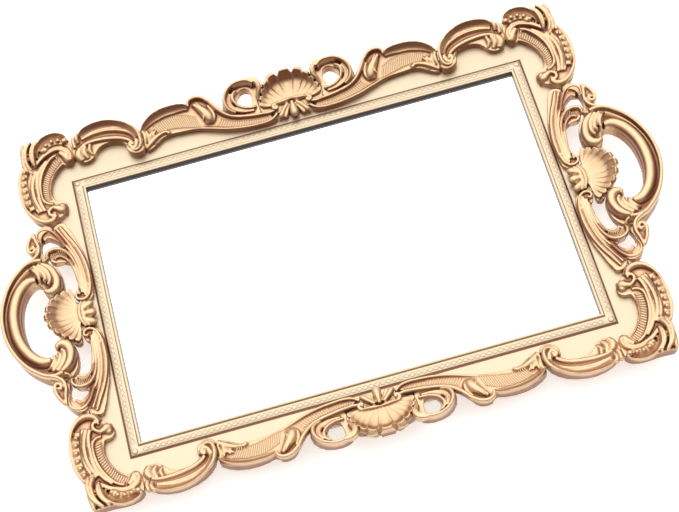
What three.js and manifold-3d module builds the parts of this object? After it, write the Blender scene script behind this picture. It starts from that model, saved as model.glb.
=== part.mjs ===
// Serving-size dresser tray: a mirror plate in a gilded rococo frame with a loop handle at each end.
//
// The frame is a core of four mitred rails with a sloping field. Four mitred sight slips finish its
// inner edge over the glass, and cast ornaments are laid over its outer edge and bonded to it: a
// cartouche at each corner, a C-scroll, a ribbed band and a pierced ring on each half of the long
// sides, a reeded panel and an ear scroll on each half of the ends, and shells at the middle of each
// side. The rim flares up and out like a dish, so its outer part stands clear of the table.
//
// Millimetres. Origin at the centre of the felt's underside, +X along the handles, +Y to the back,
// +Z up. The tray is the same in all four quarters, so outlines are given once, for +X +Y.
import * as THREE from "three";
import { mergeVertices } from "three/addons/utils/BufferGeometryUtils.js";
import Module from "manifold-3d";

const wasm = await Module();
wasm.setup();

// ---------------------------------------------------------------- driving dimensions
const OPENING_X = 145; // half the visible mirror, along X
const OPENING_Y = 91.9; // half the visible mirror, along Y
const GAP = 0.3; // left between faces that are glued or rest on each other

const FELT_THICK = 1.2;
const BOARD_THICK = 2.6;
const FOAM_THICK = 0.7;
const GLASS_THICK = 3;
const GLASS_UNDER_SLIP = 2.5; // how far the glass runs under the sight slip on each side
const FOAM_WIDTH = 9;

const RAIL_OUTER = 24; // rail width outward from the edge of the opening
const RAIL_FOOT = 14; // where the rail's underside starts to sweep up
const RAIL_EDGE_LOW = 8.4; // lower arris of the rail's outer edge
const FIELD_INNER_Z = 9.9; // the field beside the sight slip
const FIELD_OUTER_Z = 11.2; // the field at the rail's outer edge
const SLIP_WIDTH = 8;
const SLIP_TOP = 12;

const ORNAMENT_INNER_Z = 14.2; // top of an ornament where it starts beside the slip
const ORNAMENT_LOW_Z = 10.5; // underside of the ornaments beside the rail
const RIM_LOW_Z = 12.5; // underside of the ornaments at the outer rim
const RIM_WIDTH = 38; // from the opening to where the rim reaches its crest
const SCROLL_CREST = 24;
const HIGH_CREST = 27; // shells, rings and handles stand proud of the scrolls

const CORNER_CLEAR = 64; // the end rails keep their full width beyond this, under the corners
const END_RAIL_CUT = 161.5; // and are cut back to this between, behind the pierced panels

// ---------------------------------------------------------------- levels worked out from them
const boardLow = FELT_THICK + GAP;
const foamLow = boardLow + BOARD_THICK + GAP;
const glassLow = foamLow + FOAM_THICK + GAP;
const glassTop = glassLow + GLASS_THICK;
const slipLow = glassTop + GAP;
const glassX = OPENING_X + GLASS_UNDER_SLIP;
const glassY = OPENING_Y + GLASS_UNDER_SLIP;
const fieldInner = SLIP_WIDTH + GAP;

// ---------------------------------------------------------------- finishes
const gold = (hex, roughness) =>
  new THREE.MeshStandardMaterial({ color: hex, metalness: 0.6, roughness });
const finishes = {
  field: gold(0xf3dfb6, 0.42),
  carved: gold(0xd9ac7b, 0.38),
  slip: gold(0xeacfa2, 0.4),
  mirror: new THREE.MeshStandardMaterial({ color: 0xf4f6f7, metalness: 1, roughness: 0.04 }),
  board: new THREE.MeshStandardMaterial({ color: 0x9a7b56, metalness: 0, roughness: 0.85 }),
  foam: new THREE.MeshStandardMaterial({ color: 0xf2f2ee, metalness: 0, roughness: 0.9 }),
  felt: new THREE.MeshStandardMaterial({ color: 0x2a2420, metalness: 0, roughness: 1 }),
};

const tray = new THREE.Group();
tray.name = "dresser_vanity_tray";

function place(name, geometry, finish) {
  const mesh = new THREE.Mesh(geometry, finish.clone());
  mesh.name = name;
  tray.add(mesh);
  return mesh;
}

// ---------------------------------------------------------------- solids and booleans
function solidOf(geometry) {
  const bare = geometry.clone();
  bare.deleteAttribute("normal");
  bare.deleteAttribute("uv");
  const merged = mergeVertices(bare, 1e-4);
  return new wasm.Manifold(
    new wasm.Mesh({
      numProp: 3,
      vertProperties: merged.attributes.position.array,
      triVerts: new Uint32Array(merged.index.array),
    }),
  );
}

function geometryOf(solid) {
  const { vertProperties, triVerts } = solid.getMesh();
  const geometry = new THREE.BufferGeometry();
  geometry.setAttribute("position", new THREE.BufferAttribute(vertProperties, 3));
  geometry.setIndex(new THREE.BufferAttribute(triVerts, 1));
  geometry.computeVertexNormals();
  return geometry;
}

function slab(halfX, halfY, low, thick) {
  return new THREE.BoxGeometry(2 * halfX, 2 * halfY, thick).translate(0, 0, low + thick / 2);
}

// ---------------------------------------------------------------- mitred rails and slips
// A bar along the back of the opening. Its profile is [distance outward, height], and both ends
// are cut on the 45 degree planes through the opening's corners.
function mitredBar(profile, halfLength, offset) {
  const shape = new THREE.Shape(profile.map(([u, z]) => new THREE.Vector2(u, z)));
  const bar = new THREE.ExtrudeGeometry(shape, { depth: 1, bevelEnabled: false });
  const p = bar.attributes.position;
  for (let i = 0; i < p.count; i++) {
    const [u, z, end] = [p.getX(i), p.getY(i), p.getZ(i) * 2 - 1];
    p.setXYZ(i, end * (halfLength + u - GAP), offset + u, z);
  }
  return bar;
}

const SIDES = [
  { side: "back", turn: 0, half: OPENING_X, offset: OPENING_Y },
  { side: "left", turn: Math.PI / 2, half: OPENING_Y, offset: OPENING_X },
  { side: "front", turn: Math.PI, half: OPENING_X, offset: OPENING_Y },
  { side: "right", turn: -Math.PI / 2, half: OPENING_Y, offset: OPENING_X },
];

function railProfile(grow) {
  const inner = GLASS_UNDER_SLIP + GAP - grow;
  return [
    [inner, boardLow - grow],
    [RAIL_FOOT + grow, boardLow - grow],
    [RAIL_OUTER + grow, RAIL_EDGE_LOW - grow],
    [RAIL_OUTER + grow, FIELD_OUTER_Z + grow],
    [fieldInner, FIELD_INNER_Z + grow],
    [fieldInner, glassTop],
    [inner, glassTop],
  ];
}

const SLIP_PROFILE = [
  [0, slipLow],
  [SLIP_WIDTH, slipLow],
  [SLIP_WIDTH, 9.6],
  [7.2, 10.8],
  [2.5, 11.1],
  [2.1, 10.7],
  [1.8, 11.7],
  [1.1, SLIP_TOP],
  [0.3, 11.8],
  [0, 11.2],
];

function endRailCut(grow) {
  const depth = RAIL_OUTER * 2;
  const box = new THREE.BoxGeometry(2 * (CORNER_CLEAR - grow), depth, 60);
  return solidOf(box.translate(0, END_RAIL_CUT + grow + depth / 2, 0));
}

function rail({ half, offset }, grow = 0) {
  const bar = solidOf(mitredBar(railProfile(grow), half, offset));
  return offset === OPENING_X ? bar.subtract(endRailCut(grow)) : bar;
}

// The space that the rails take, a gap larger all round, which the ornaments leave free.
const railSpace = SIDES.map((s) => {
  const turned = geometryOf(rail(s, GAP)).rotateZ(s.turn);
  return solidOf(turned);
}).reduce((all, one) => all.add(one));

for (const s of SIDES) {
  place("rail_" + s.side, geometryOf(rail(s)), finishes.field).rotation.z = s.turn;
  const slip = mitredBar(SLIP_PROFILE, s.half, s.offset);
  place("sight_slip_" + s.side, slip, finishes.slip).rotation.z = s.turn;
}

// ---------------------------------------------------------------- cast ornaments
const outward = (x, y) => Math.max(Math.abs(x) - OPENING_X, Math.abs(y) - OPENING_Y);
const ramp = (t) => Math.min(1, Math.max(0, t));

function topHeight(u, crest) {
  const share = ramp((u - SLIP_WIDTH) / (RIM_WIDTH - SLIP_WIDTH));
  return ORNAMENT_INNER_Z + share * (crest - ORNAMENT_INNER_Z);
}

function lowHeight(u) {
  return ORNAMENT_LOW_Z + ramp((u - 30) / 10) * (RIM_LOW_Z - ORNAMENT_LOW_Z);
}

// A smooth closed outline through the given points, mirrored into its quarter, anticlockwise.
function smooth(points, sx, sy, steps) {
  const knots = points.map(([x, y]) => new THREE.Vector3(x * sx, y * sy, 0));
  const curve = new THREE.CatmullRomCurve3(knots, true, "centripetal");
  const outline = curve.getPoints(steps).slice(0, -1).map((p) => new THREE.Vector2(p.x, p.y));
  return THREE.ShapeUtils.isClockWise(outline) ? outline.reverse() : outline;
}

// An ornament: its outline raised to a dished top, cut to sit over the rails.
function ornament(points, sx, sy, { crest = SCROLL_CREST, hole = null, detail = 1.6 } = {}) {
  const shape = new THREE.Shape(smooth(points, sx, sy, Math.round(points.length * detail)));
  if (hole) shape.holes.push(new THREE.Path(smooth(hole, sx, sy, hole.length * 2)));
  const plate = new THREE.ExtrudeGeometry(shape, { depth: 1, bevelEnabled: false });
  const p = plate.attributes.position;
  for (let i = 0; i < p.count; i++) {
    const u = outward(p.getX(i), p.getY(i));
    p.setZ(i, p.getZ(i) > 0.5 ? topHeight(u, crest) : lowHeight(u));
  }
  return geometryOf(solidOf(plate).subtract(railSpace));
}

// Both halves of a piece that crosses a middle line: the points of one half, then their mirror
// image in reverse order.
function doubled(points, mirror) {
  const other = points.map(mirror).reverse();
  const onLine = (p) => mirror(p)[0] === p[0] && mirror(p)[1] === p[1];
  return [...points, ...other.filter((p) => !onLine(p))];
}

const CORNER = [
  [148.6, 126], [151, 129.5], [156, 131.3], [162, 131.6], [168, 131], [174, 131], [180, 131],
  [181.8, 126], [182, 119], [182.7, 112], [185, 104], [186.5, 96], [186.2, 88], [184.5, 80.5],
  [181.2, 73.5], [177, 69], [172, 67.3], [167.4, 69], [165.6, 73], [162.5, 75], [159.6, 78],
  [159, 82], [161.5, 85.2], [165.5, 85.8], [167.6, 89], [168, 94], [166.3, 101.5],
  [162.6, 107.6], [157.4, 112.4], [154, 111.2], [150.8, 110.6], [148.7, 113.5], [148.4, 119.5],
];

const C_SCROLL = [
  [147.9, 119], [146.6, 124], [140.5, 129.3], [130, 132], [120, 131], [111, 127.6],
  [104.6, 121.7], [102, 114.5], [101.4, 108.5], [103.4, 104.8], [107.6, 105.4], [111, 109.3],
  [112.6, 114.6], [118.5, 117.6], [125.4, 118.3], [131.4, 116.2], [134.9, 112], [137, 110.3],
  [140.6, 109.4], [144, 110.4], [147.2, 113.6],
];

const RIBBED_BAND = [
  [101.2, 121.8], [95, 126.8], [85, 129.4], [75, 129.2], [67.5, 127.6], [65.5, 130.4],
  [61, 131.4], [56.6, 129.8], [53.4, 125.6], [49.6, 120], [45.6, 115.4], [39.6, 111.8],
  [30, 109.6], [22.6, 108.4], [14.6, 107], [12.2, 103.6], [16, 101.9], [25, 101.8], [35, 102.8],
  [45, 105.1], [55, 108.5], [65, 111.8], [75, 114.2], [82.8, 113.6], [88, 111.6], [95, 107.4],
  [99.8, 105.6], [100.6, 109], [101, 115],
];

const PIERCED_RING = [
  [42.4, 114.2], [45, 119.4], [44, 125], [39, 130.4], [30.6, 132.6], [23.4, 131.6],
  [20.4, 128.6], [20.8, 122], [22, 117], [21.6, 110.4], [24.6, 109.2], [30.4, 110.2],
  [37.6, 112],
];
const RING_HOLE = [
  [34.6, 119.4], [34.8, 124.6], [32, 128.6], [28, 129.4], [25, 127.4], [24.4, 122],
  [26.2, 117.4], [30.6, 116.6],
];

const SIDE_SHELL = doubled(
  [
    [0, 131.6], [4.4, 131.4], [8.4, 130.2], [12, 129.4], [16, 128.4], [19.6, 125.6], [20.2, 120.6],
    [21.4, 116.6], [20.8, 111], [14.2, 109.4], [11.6, 106.4], [9.4, 103.6], [5.4, 102.4],
    [3, 100.8], [0, 100.4],
  ],
  ([x, y]) => [-x, y],
);

const END_REEDS = [
  [163, 67.8], [159.2, 57], [155.4, 45], [153.8, 33], [153.7, 21], [155, 12.6], [158.4, 9.8],
  [162.6, 9.6], [166, 11.8], [166.4, 16.2], [163.8, 19.6], [163, 26], [163.4, 33], [165.6, 38],
  [169.4, 40.6], [173.4, 40.2], [177.6, 42.8], [178.2, 46.4], [174.6, 49], [170.6, 49.8],
  [169.8, 53], [170.2, 57.4], [171.6, 61.4], [170.8, 66.6], [166.8, 68.4],
];

const EAR_SCROLL = [
  [171.6, 66.6], [172.4, 62.2], [176.4, 61.2], [179.8, 58], [181, 53.2], [180.4, 48.6],
  [179, 44.4], [181.4, 43], [186, 42.9], [189.8, 44.6], [188.6, 49.4], [187, 53.8], [184.8, 58.6],
  [181.4, 63.6], [177, 66.8],
];

const HANDLE = doubled(
  [
    [213.6, 0], [212.6, 10], [209.6, 20], [204, 30], [196.4, 37.6], [190.4, 41.6], [184, 42.4],
    [178.6, 41.4], [174.6, 37.8], [172.2, 33], [171.4, 26.6], [172, 20.6], [175, 17.2],
    [180.4, 16], [184, 19], [184.6, 24], [188, 27], [192, 25.2], [195.6, 21.2], [198.9, 14.6],
    [200.7, 7.4], [201.2, 0],
  ],
  ([x, y]) => [x, -y],
);

const END_SHELL = doubled(
  [
    [185.4, 0], [184.8, 5.2], [181.6, 10], [179.4, 14.6], [174.8, 15.6], [171.6, 19],
    [168, 18.8], [166.9, 15.6], [167, 11], [163.4, 8.9], [158.8, 9.1], [155.6, 7], [154, 3.4],
    [154.4, 0],
  ],
  ([x, y]) => [x, -y],
);

const QUARTERS = [
  ["back_right", 1, 1],
  ["back_left", -1, 1],
  ["front_left", -1, -1],
  ["front_right", 1, -1],
];
for (const [where, sx, sy] of QUARTERS) {
  place("corner_" + where, ornament(CORNER, sx, sy), finishes.carved);
  place("c_scroll_" + where, ornament(C_SCROLL, sx, sy), finishes.carved);
  place("ribbed_band_" + where, ornament(RIBBED_BAND, sx, sy), finishes.carved);
  const ring = { crest: HIGH_CREST, hole: RING_HOLE };
  place("pierced_ring_" + where, ornament(PIERCED_RING, sx, sy, ring), finishes.carved);
  place("end_reeds_" + where, ornament(END_REEDS, sx, sy), finishes.carved);
  const ear = { crest: HIGH_CREST };
  place("ear_scroll_" + where, ornament(EAR_SCROLL, sx, sy, ear), finishes.carved);
}

const HIGH = { crest: HIGH_CREST };
for (const [where, sy] of [["back", 1], ["front", -1]]) {
  place("shell_" + where, ornament(SIDE_SHELL, 1, sy, HIGH), finishes.carved);
}
for (const [where, sx] of [["right", 1], ["left", -1]]) {
  place("shell_" + where, ornament(END_SHELL, sx, 1, HIGH), finishes.carved);
  const bow = { crest: HIGH_CREST, detail: 2 };
  place("handle_" + where, ornament(HANDLE, sx, 1, bow), finishes.carved);
}

// ---------------------------------------------------------------- glass, backing and base
place("mirror_plate", slab(glassX, glassY, glassLow, GLASS_THICK), finishes.mirror);
place("backing_board", slab(glassX, glassY, boardLow, BOARD_THICK), finishes.board);

function foamRing() {
  const outer = solidOf(slab(glassX, glassY, foamLow, FOAM_THICK));
  const clear = slab(glassX - FOAM_WIDTH, glassY - FOAM_WIDTH, foamLow - 1, FOAM_THICK + 2);
  return geometryOf(outer.subtract(solidOf(clear)));
}
place("foam_tape", foamRing(), finishes.foam);

// The felt covers the board and the rails' underside, with rounded corners.
function feltSheet() {
  const halfX = OPENING_X + RAIL_FOOT - 1;
  const halfY = OPENING_Y + RAIL_FOOT - 1;
  const r = 6;
  const shape = new THREE.Shape();
  shape.moveTo(-halfX + r, -halfY);
  shape.lineTo(halfX - r, -halfY);
  shape.absarc(halfX - r, -halfY + r, r, -Math.PI / 2, 0);
  shape.lineTo(halfX, halfY - r);
  shape.absarc(halfX - r, halfY - r, r, 0, Math.PI / 2);
  shape.lineTo(-halfX + r, halfY);
  shape.absarc(-halfX + r, halfY - r, r, Math.PI / 2, Math.PI);
  shape.lineTo(-halfX, -halfY + r);
  shape.absarc(-halfX + r, -halfY + r, r, Math.PI, 1.5 * Math.PI);
  const sheet = { depth: FELT_THICK, bevelEnabled: false, curveSegments: 5 };
  return new THREE.ExtrudeGeometry(shape, sheet);
}
place("felt_base", feltSheet(), finishes.felt);

export default tray;
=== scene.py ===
"""Dresser vanity tray: the carved and gilded looks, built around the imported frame.

Every length in a class field or a stroke is in millimetres, in the tray's own frame: X along the
handles, Y to the back, Z up from the table. The tray is the same in all four quarters, so each
ornament is carved once, for +X +Y, and copied mirrored.
"""
import logging
import math
from collections.abc import Sequence
from dataclasses import dataclass, field
from enum import Enum

import bpy
import numpy as np
from mathutils import Matrix, Vector, noise
from mathutils.kdtree import KDTree


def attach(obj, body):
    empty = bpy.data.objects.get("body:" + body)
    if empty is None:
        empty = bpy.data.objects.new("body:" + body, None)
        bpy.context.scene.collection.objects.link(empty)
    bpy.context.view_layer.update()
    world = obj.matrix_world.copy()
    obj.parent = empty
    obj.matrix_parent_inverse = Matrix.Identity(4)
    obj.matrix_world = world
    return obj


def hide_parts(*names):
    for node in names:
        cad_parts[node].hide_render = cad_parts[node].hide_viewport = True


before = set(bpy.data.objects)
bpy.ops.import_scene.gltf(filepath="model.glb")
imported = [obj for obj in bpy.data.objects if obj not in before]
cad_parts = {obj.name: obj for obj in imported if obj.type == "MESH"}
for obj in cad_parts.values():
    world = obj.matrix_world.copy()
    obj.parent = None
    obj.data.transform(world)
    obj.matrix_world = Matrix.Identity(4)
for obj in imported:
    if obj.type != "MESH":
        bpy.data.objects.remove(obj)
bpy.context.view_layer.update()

MM = 0.001
ROOT = "root"
SIGNS = ((1, 1), (-1, 1), (-1, -1), (1, -1))
log = logging.getLogger("tray")

Point = tuple[float, ...]
Color = tuple[float, float, float, float]


# ------------------------------------------------------------------------------ shared measures
@dataclass(frozen=True)
class Opening:
    """The visible mirror, which every ornament is measured out from."""

    half_x: float = 145.0
    half_y: float = 91.9

    def outward(self, x: float, y: float) -> float:
        """Distance outward from the edge of the opening to a place on the frame."""
        return max(abs(x) - self.half_x, abs(y) - self.half_y)


@dataclass(frozen=True)
class Dish:
    """The ground that an ornament's carving lies on: it rises outward like a dish."""

    inner: float = 13.2
    outer: float = 20.2
    start: float = 8.0
    end: float = 38.0
    curve: float = 1.5
    belly: float = 10.5
    belly_rise: float = 2.0
    belly_start: float = 30.0
    belly_width: float = 10.0

    def level(self, x: float, y: float) -> float:
        """Finds the height of the ground.

        Args:
            x: the place's X.
            y: the place's Y.

        Returns:
            The height there.
        """
        u = OPENING.outward(x, y)
        share = min(1.0, max(0.0, (u - self.start) / (self.end - self.start)))
        return self.inner + share**self.curve * (self.outer - self.inner)

    def underside(self, x: float, y: float) -> float:
        """Height of the ornament's underside, which clears the rails and the table."""
        share = min(1.0, max(0.0, (OPENING.outward(x, y) - self.belly_start) / self.belly_width))
        return self.belly + self.belly_rise * share


@dataclass(frozen=True)
class Method:
    """Measures of the carving method that all ornaments share."""

    reach: tuple[float, float, float] = (213.45, 132.45, 26.95)  # nothing passes this half size and height
    inset: float = 1.1  # a blank is drawn in this far where it faces out, so that the strokes make the edge
    joint: float = 0.42  # and grows this far elsewhere, so that neighbours close up
    wall_share: float = 0.25  # least level share of the normal of a wall
    cuts: int = 5
    voxel: float = 0.42
    softening: int = 2
    rib_step: float = 1.1
    rib_sink: float = 0.1
    rib_foot: float = 0.12
    # the ribs' crests are lighter: a painted highlight
    rib_crest_tone: float = 0.38
    rib_spread: float = 1.0
    above: float = 60.0  # a height over everything, from which ribs drop onto the skin


OPENING = Opening()
METHOD = Method()
LOW_DISH = Dish()
HIGH_DISH = Dish(outer=19.5)
EAR_DISH = Dish(outer=18.0)
SHELL_DISH = Dish(inner=11.5, outer=20.0, curve=1.25)


# ------------------------------------------------------------------------------ finishes
class Shade(Enum):
    """Linear colours of the gilding, of the brown patina that is wiped into it and also serves as painted
    shade on walls, of a lighter gold that is a painted highlight on crests, and of a dark grey for the sight
    slip's inner wall.
    """

    PALE = (0.575, 0.48, 0.345, 1.0)
    # the carving's light colour: a painted highlight on its crests
    CREST = (0.69, 0.55, 0.355, 1.0)
    GOLD = (0.645, 0.43, 0.25, 1.0)
    # the brown: patina in hollows, and also painted shade on walls that face inward and at the feet of outer
    # walls
    PATINA = (0.29, 0.13, 0.078, 1.0)
    SHADOW = (0.12, 0.108, 0.115, 1.0)


@dataclass
class Recipe:
    """A node tree, with a short way to add a node and to wire it up."""

    tree: bpy.types.NodeTree

    def add(self, kind: str, inputs: dict[str | int, object], **settings: object) -> bpy.types.Node:
        """Adds a shader node.

        Args:
            kind: its type, without the word ShaderNode before it.
            inputs: for each of its sockets, a constant or the output that feeds it.
            settings: values for its properties.

        Returns:
            The node.
        """
        node = self.tree.nodes.new("ShaderNode" + kind)
        for key, value in settings.items():
            setattr(node, key, value)
        self.feed(node, inputs)
        return node

    def feed(self, node: bpy.types.Node, inputs: dict[str | int, object]) -> None:
        """Sets a node's sockets to constants or wires outputs into them.

        Args:
            node: the node.
            inputs: for each of its sockets, a constant or the output that feeds it.
        """
        for key, value in inputs.items():
            if isinstance(value, bpy.types.NodeSocket):
                self.tree.links.new(value, node.inputs[key])
            else:
                node.inputs[key].default_value = value

    def noise(self, scale: float, detail: float = 2.0) -> bpy.types.NodeSocket:
        """Adds a noise on Object coordinates.

        Args:
            scale: cells to a metre.
            detail: its octaves.

        Returns:
            The noise's value.
        """
        place = self.add("TexCoord", {}).outputs["Object"]
        return self.add("TexNoise", {"Vector": place, "Scale": scale, "Detail": detail}).outputs["Fac"]

    def ranged(self, value: bpy.types.NodeSocket, start: float, end: float, low: float = 0.0,
               high: float = 1.0, kind: str = "LINEAR") -> bpy.types.NodeSocket:
        """Maps a value from one range to another.

        Args:
            value: what is mapped.
            start: where it gives the low end.
            end: where it gives the high end.
            low: the low end.
            high: the high end.
            kind: the interpolation.

        Returns:
            The mapped value.
        """
        limits = {"Value": value, "From Min": start, "From Max": end, "To Min": low, "To Max": high}
        return self.add("MapRange", limits, interpolation_type=kind).outputs["Result"]

    def mix(self, share: bpy.types.NodeSocket, first: object, second: object) -> bpy.types.NodeSocket:
        """Mixes two colours by a share, each a constant or an output."""
        return self.add("Mix", {"Factor": share, "A": first, "B": second}, data_type="RGBA").outputs["Result"]


def new_material(name: str) -> tuple[bpy.types.Material, Recipe, bpy.types.Node]:
    """Adds a node material.

    Args:
        name: the material's name.

    Returns:
        The material, its recipe and its Principled shader node.
    """
    material = bpy.data.materials.new(name)
    material.use_nodes = True
    return material, Recipe(material.node_tree), material.node_tree.nodes["Principled BSDF"]


@dataclass(frozen=True)
class Gilding:
    """Satin metallic gold paint, with a brown patina held in the recesses; the same brown is painted shade on
    walls, and a light colour paler than the body is a painted highlight on crests.
    """

    name: str
    light: Color = Shade.PALE.value
    body: Color = Shade.GOLD.value
    patina: Color = Shade.PATINA.value
    roughness: float = 0.34
    metallic: float = 0.82
    # low values of the attribute, on crests, mix in the light colour: a painted highlight
    raised: tuple[float, float] = (0.56, 0.30)
    # high values darken to the brown: patina in hollows and painted shade on walls
    wiped_and_shaded: tuple[float, float] = (0.50, 0.86)
    walled: tuple[float, float] = (1.2, 1.6)
    cloud_scale: float = 55.0
    cloud_share: float = 0.35
    grain_scale: float = 900.0
    grain_height: float = 0.0002

    def build(self) -> bpy.types.Material:
        """Builds the paint from the per-vertex attribute of patina, painted shade and painted highlight, a
        cloudy noise and a grain.

        Returns:
            The material.
        """
        material, recipe, shader = new_material(self.name)
        recess_and_shade = recipe.add("Attribute", {}, attribute_name="recess_and_shade").outputs["Fac"]
        cloud = recipe.noise(self.cloud_scale, 5.0)
        # a cloudy tone, plus the painted highlight on crests
        lift = recipe.add("Math", {0: cloud, 1: self.cloud_share, 2: recipe.ranged(recess_and_shade, *self.raised)},
                          operation="MULTIPLY_ADD").outputs["Value"]
        gold = recipe.mix(lift, self.body, self.light)
        # patina in hollows and painted shade on walls
        hold = recipe.ranged(recess_and_shade, *self.wiped_and_shaded, kind="SMOOTHSTEP")
        wiped_and_shaded = recipe.mix(hold, gold, self.patina)
        walled = recipe.mix(recipe.ranged(recess_and_shade, *self.walled), wiped_and_shaded, Shade.SHADOW.value)
        grain = recipe.noise(self.grain_scale, 3.0)
        rough = recipe.ranged(grain, 0.0, 1.0, self.roughness - 0.06, self.roughness + 0.10)
        bump = recipe.add("Bump", {"Strength": 0.08, "Distance": self.grain_height, "Height": grain})
        recipe.feed(shader, {"Base Color": walled, "Roughness": rough, "Normal": bump.outputs["Normal"],
                             "Metallic": self.metallic})
        return material


@dataclass(frozen=True)
class Matt:
    """A dull, non-metallic finish with a noise in its colour: felt, board or foam."""

    name: str
    light: Color
    dark: Color
    scale: float
    roughness: float = 0.9
    nap: float = 0.0004

    def build(self) -> bpy.types.Material:
        """Builds the finish from one noise, which also raises its nap.

        Returns:
            The material.
        """
        material, recipe, shader = new_material(self.name)
        fibre = recipe.noise(self.scale, 8.0)
        bump = recipe.add("Bump", {"Strength": 0.4, "Distance": self.nap, "Height": fibre})
        recipe.feed(shader, {"Base Color": recipe.mix(fibre, self.dark, self.light),
                             "Normal": bump.outputs["Normal"], "Roughness": self.roughness})
        return material


@dataclass(frozen=True)
class Silvering:
    """Float glass silvered on the back, with a trace of haze."""

    name: str = "silvered_glass"
    tint: Color = (0.96, 0.97, 0.97, 1.0)
    haze_scale: float = 9.0
    haze: tuple[float, float] = (0.01, 0.035)

    def build(self) -> bpy.types.Material:
        """Builds the mirror finish.

        Returns:
            The material.
        """
        material, recipe, shader = new_material(self.name)
        rough = recipe.ranged(recipe.noise(self.haze_scale), 0.0, 1.0, *self.haze)
        recipe.feed(shader, {"Base Color": self.tint, "Metallic": 1.0, "Roughness": rough})
        return material


# ------------------------------------------------------------------------------ mesh tools
def deselect() -> None:
    """Deselects every object."""
    bpy.ops.object.select_all(action="DESELECT")


def activate(obj: bpy.types.Object, *others: bpy.types.Object) -> None:
    """Selects objects and makes one of them the active one.

    Args:
        obj: the one to make active.
        others: the rest of the selection.
    """
    deselect()
    for one in (obj, *others):
        one.select_set(True)
    bpy.context.view_layer.objects.active = obj


def apply_modifier(obj: bpy.types.Object, kind: str, **settings: object) -> None:
    """Adds a modifier, sets it and applies it.

    Args:
        obj: the mesh object.
        kind: the modifier's type.
        settings: values for its properties.
    """
    activate(obj)
    modifier = obj.modifiers.new(kind.lower(), kind)
    for key, value in settings.items():
        setattr(modifier, key, value)
    bpy.ops.object.modifier_apply(modifier=modifier.name)


def tidy_mesh(obj: bpy.types.Object, distance: float = 1e-6) -> None:
    """Merges doubles and turns every face outwards.

    Args:
        obj: the mesh object.
        distance: how close two vertices are, in metres, to be merged.
    """
    activate(obj)
    bpy.ops.object.mode_set(mode="EDIT")
    bpy.ops.mesh.select_all(action="SELECT")
    bpy.ops.mesh.remove_doubles(threshold=distance)
    bpy.ops.mesh.normals_make_consistent(inside=False)
    bpy.ops.object.mode_set(mode="OBJECT")


def new_piece(name: str, verts: list[Point], faces: list[tuple[int, ...]]) -> bpy.types.Object:
    """Adds a mesh object.

    Args:
        name: the object's name.
        verts: its places, in metres.
        faces: the places round each face.

    Returns:
        The object.
    """
    mesh = bpy.data.meshes.new(name)
    mesh.from_pydata(verts, [], faces)
    piece = bpy.data.objects.new(name, mesh)
    bpy.context.scene.collection.objects.link(piece)
    return piece


def vertex_values(mesh: bpy.types.Mesh, name: str) -> np.ndarray:
    """Reads a vector of every vertex.

    Args:
        mesh: the mesh.
        name: which vector: co or normal.

    Returns:
        A row for each vertex.
    """
    values = np.zeros(len(mesh.vertices) * 3)
    mesh.vertices.foreach_get(name, values)
    return values.reshape(-1, 3)


def set_recess_and_shade(obj: bpy.types.Object, values: Sequence[float]) -> None:
    """Adds the per-vertex attribute: a half on level ground, one in a deep recess and on walls given painted
    shade, nought on a crest, which takes a painted highlight.
    """
    obj.data.attributes.new("recess_and_shade", "FLOAT", "POINT").data.foreach_set("value", values)


def outwards(place: Vector) -> Vector:
    """Finds the level direction from the field out towards the tray's edge.

    Args:
        place: where, in metres.

    Returns:
        The direction, of length one.
    """
    x, y = place.x / MM, place.y / MM
    reach = max(abs(x) - OPENING.half_x, 0.01), max(abs(y) - OPENING.half_y, 0.01)
    return Vector((math.copysign(reach[0], x), math.copysign(reach[1], y), 0.0)).normalized()


def line_length(points: list[Point]) -> float:
    """Length of the line through places x, y."""
    return sum(math.dist(p, q) for p, q in zip(points, points[1:]))


def along(points: list[Point], share: float) -> tuple[float, float]:
    """Finds the place a given share of the way along a line of places.

    Args:
        points: places x, y.
        share: from nought at the first to one at the last.

    Returns:
        The place's x and y.
    """
    steps = [math.dist(p[:2], q[:2]) for p, q in zip(points, points[1:])]
    left = share * sum(steps)
    for (p, q), step in zip(zip(points, points[1:]), steps):
        if left <= step or q is points[-1]:
            t = left / step if step else 0.0
            return p[0] + t * (q[0] - p[0]), p[1] + t * (q[1] - p[1])
        left -= step
    return points[-1][:2]


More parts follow.
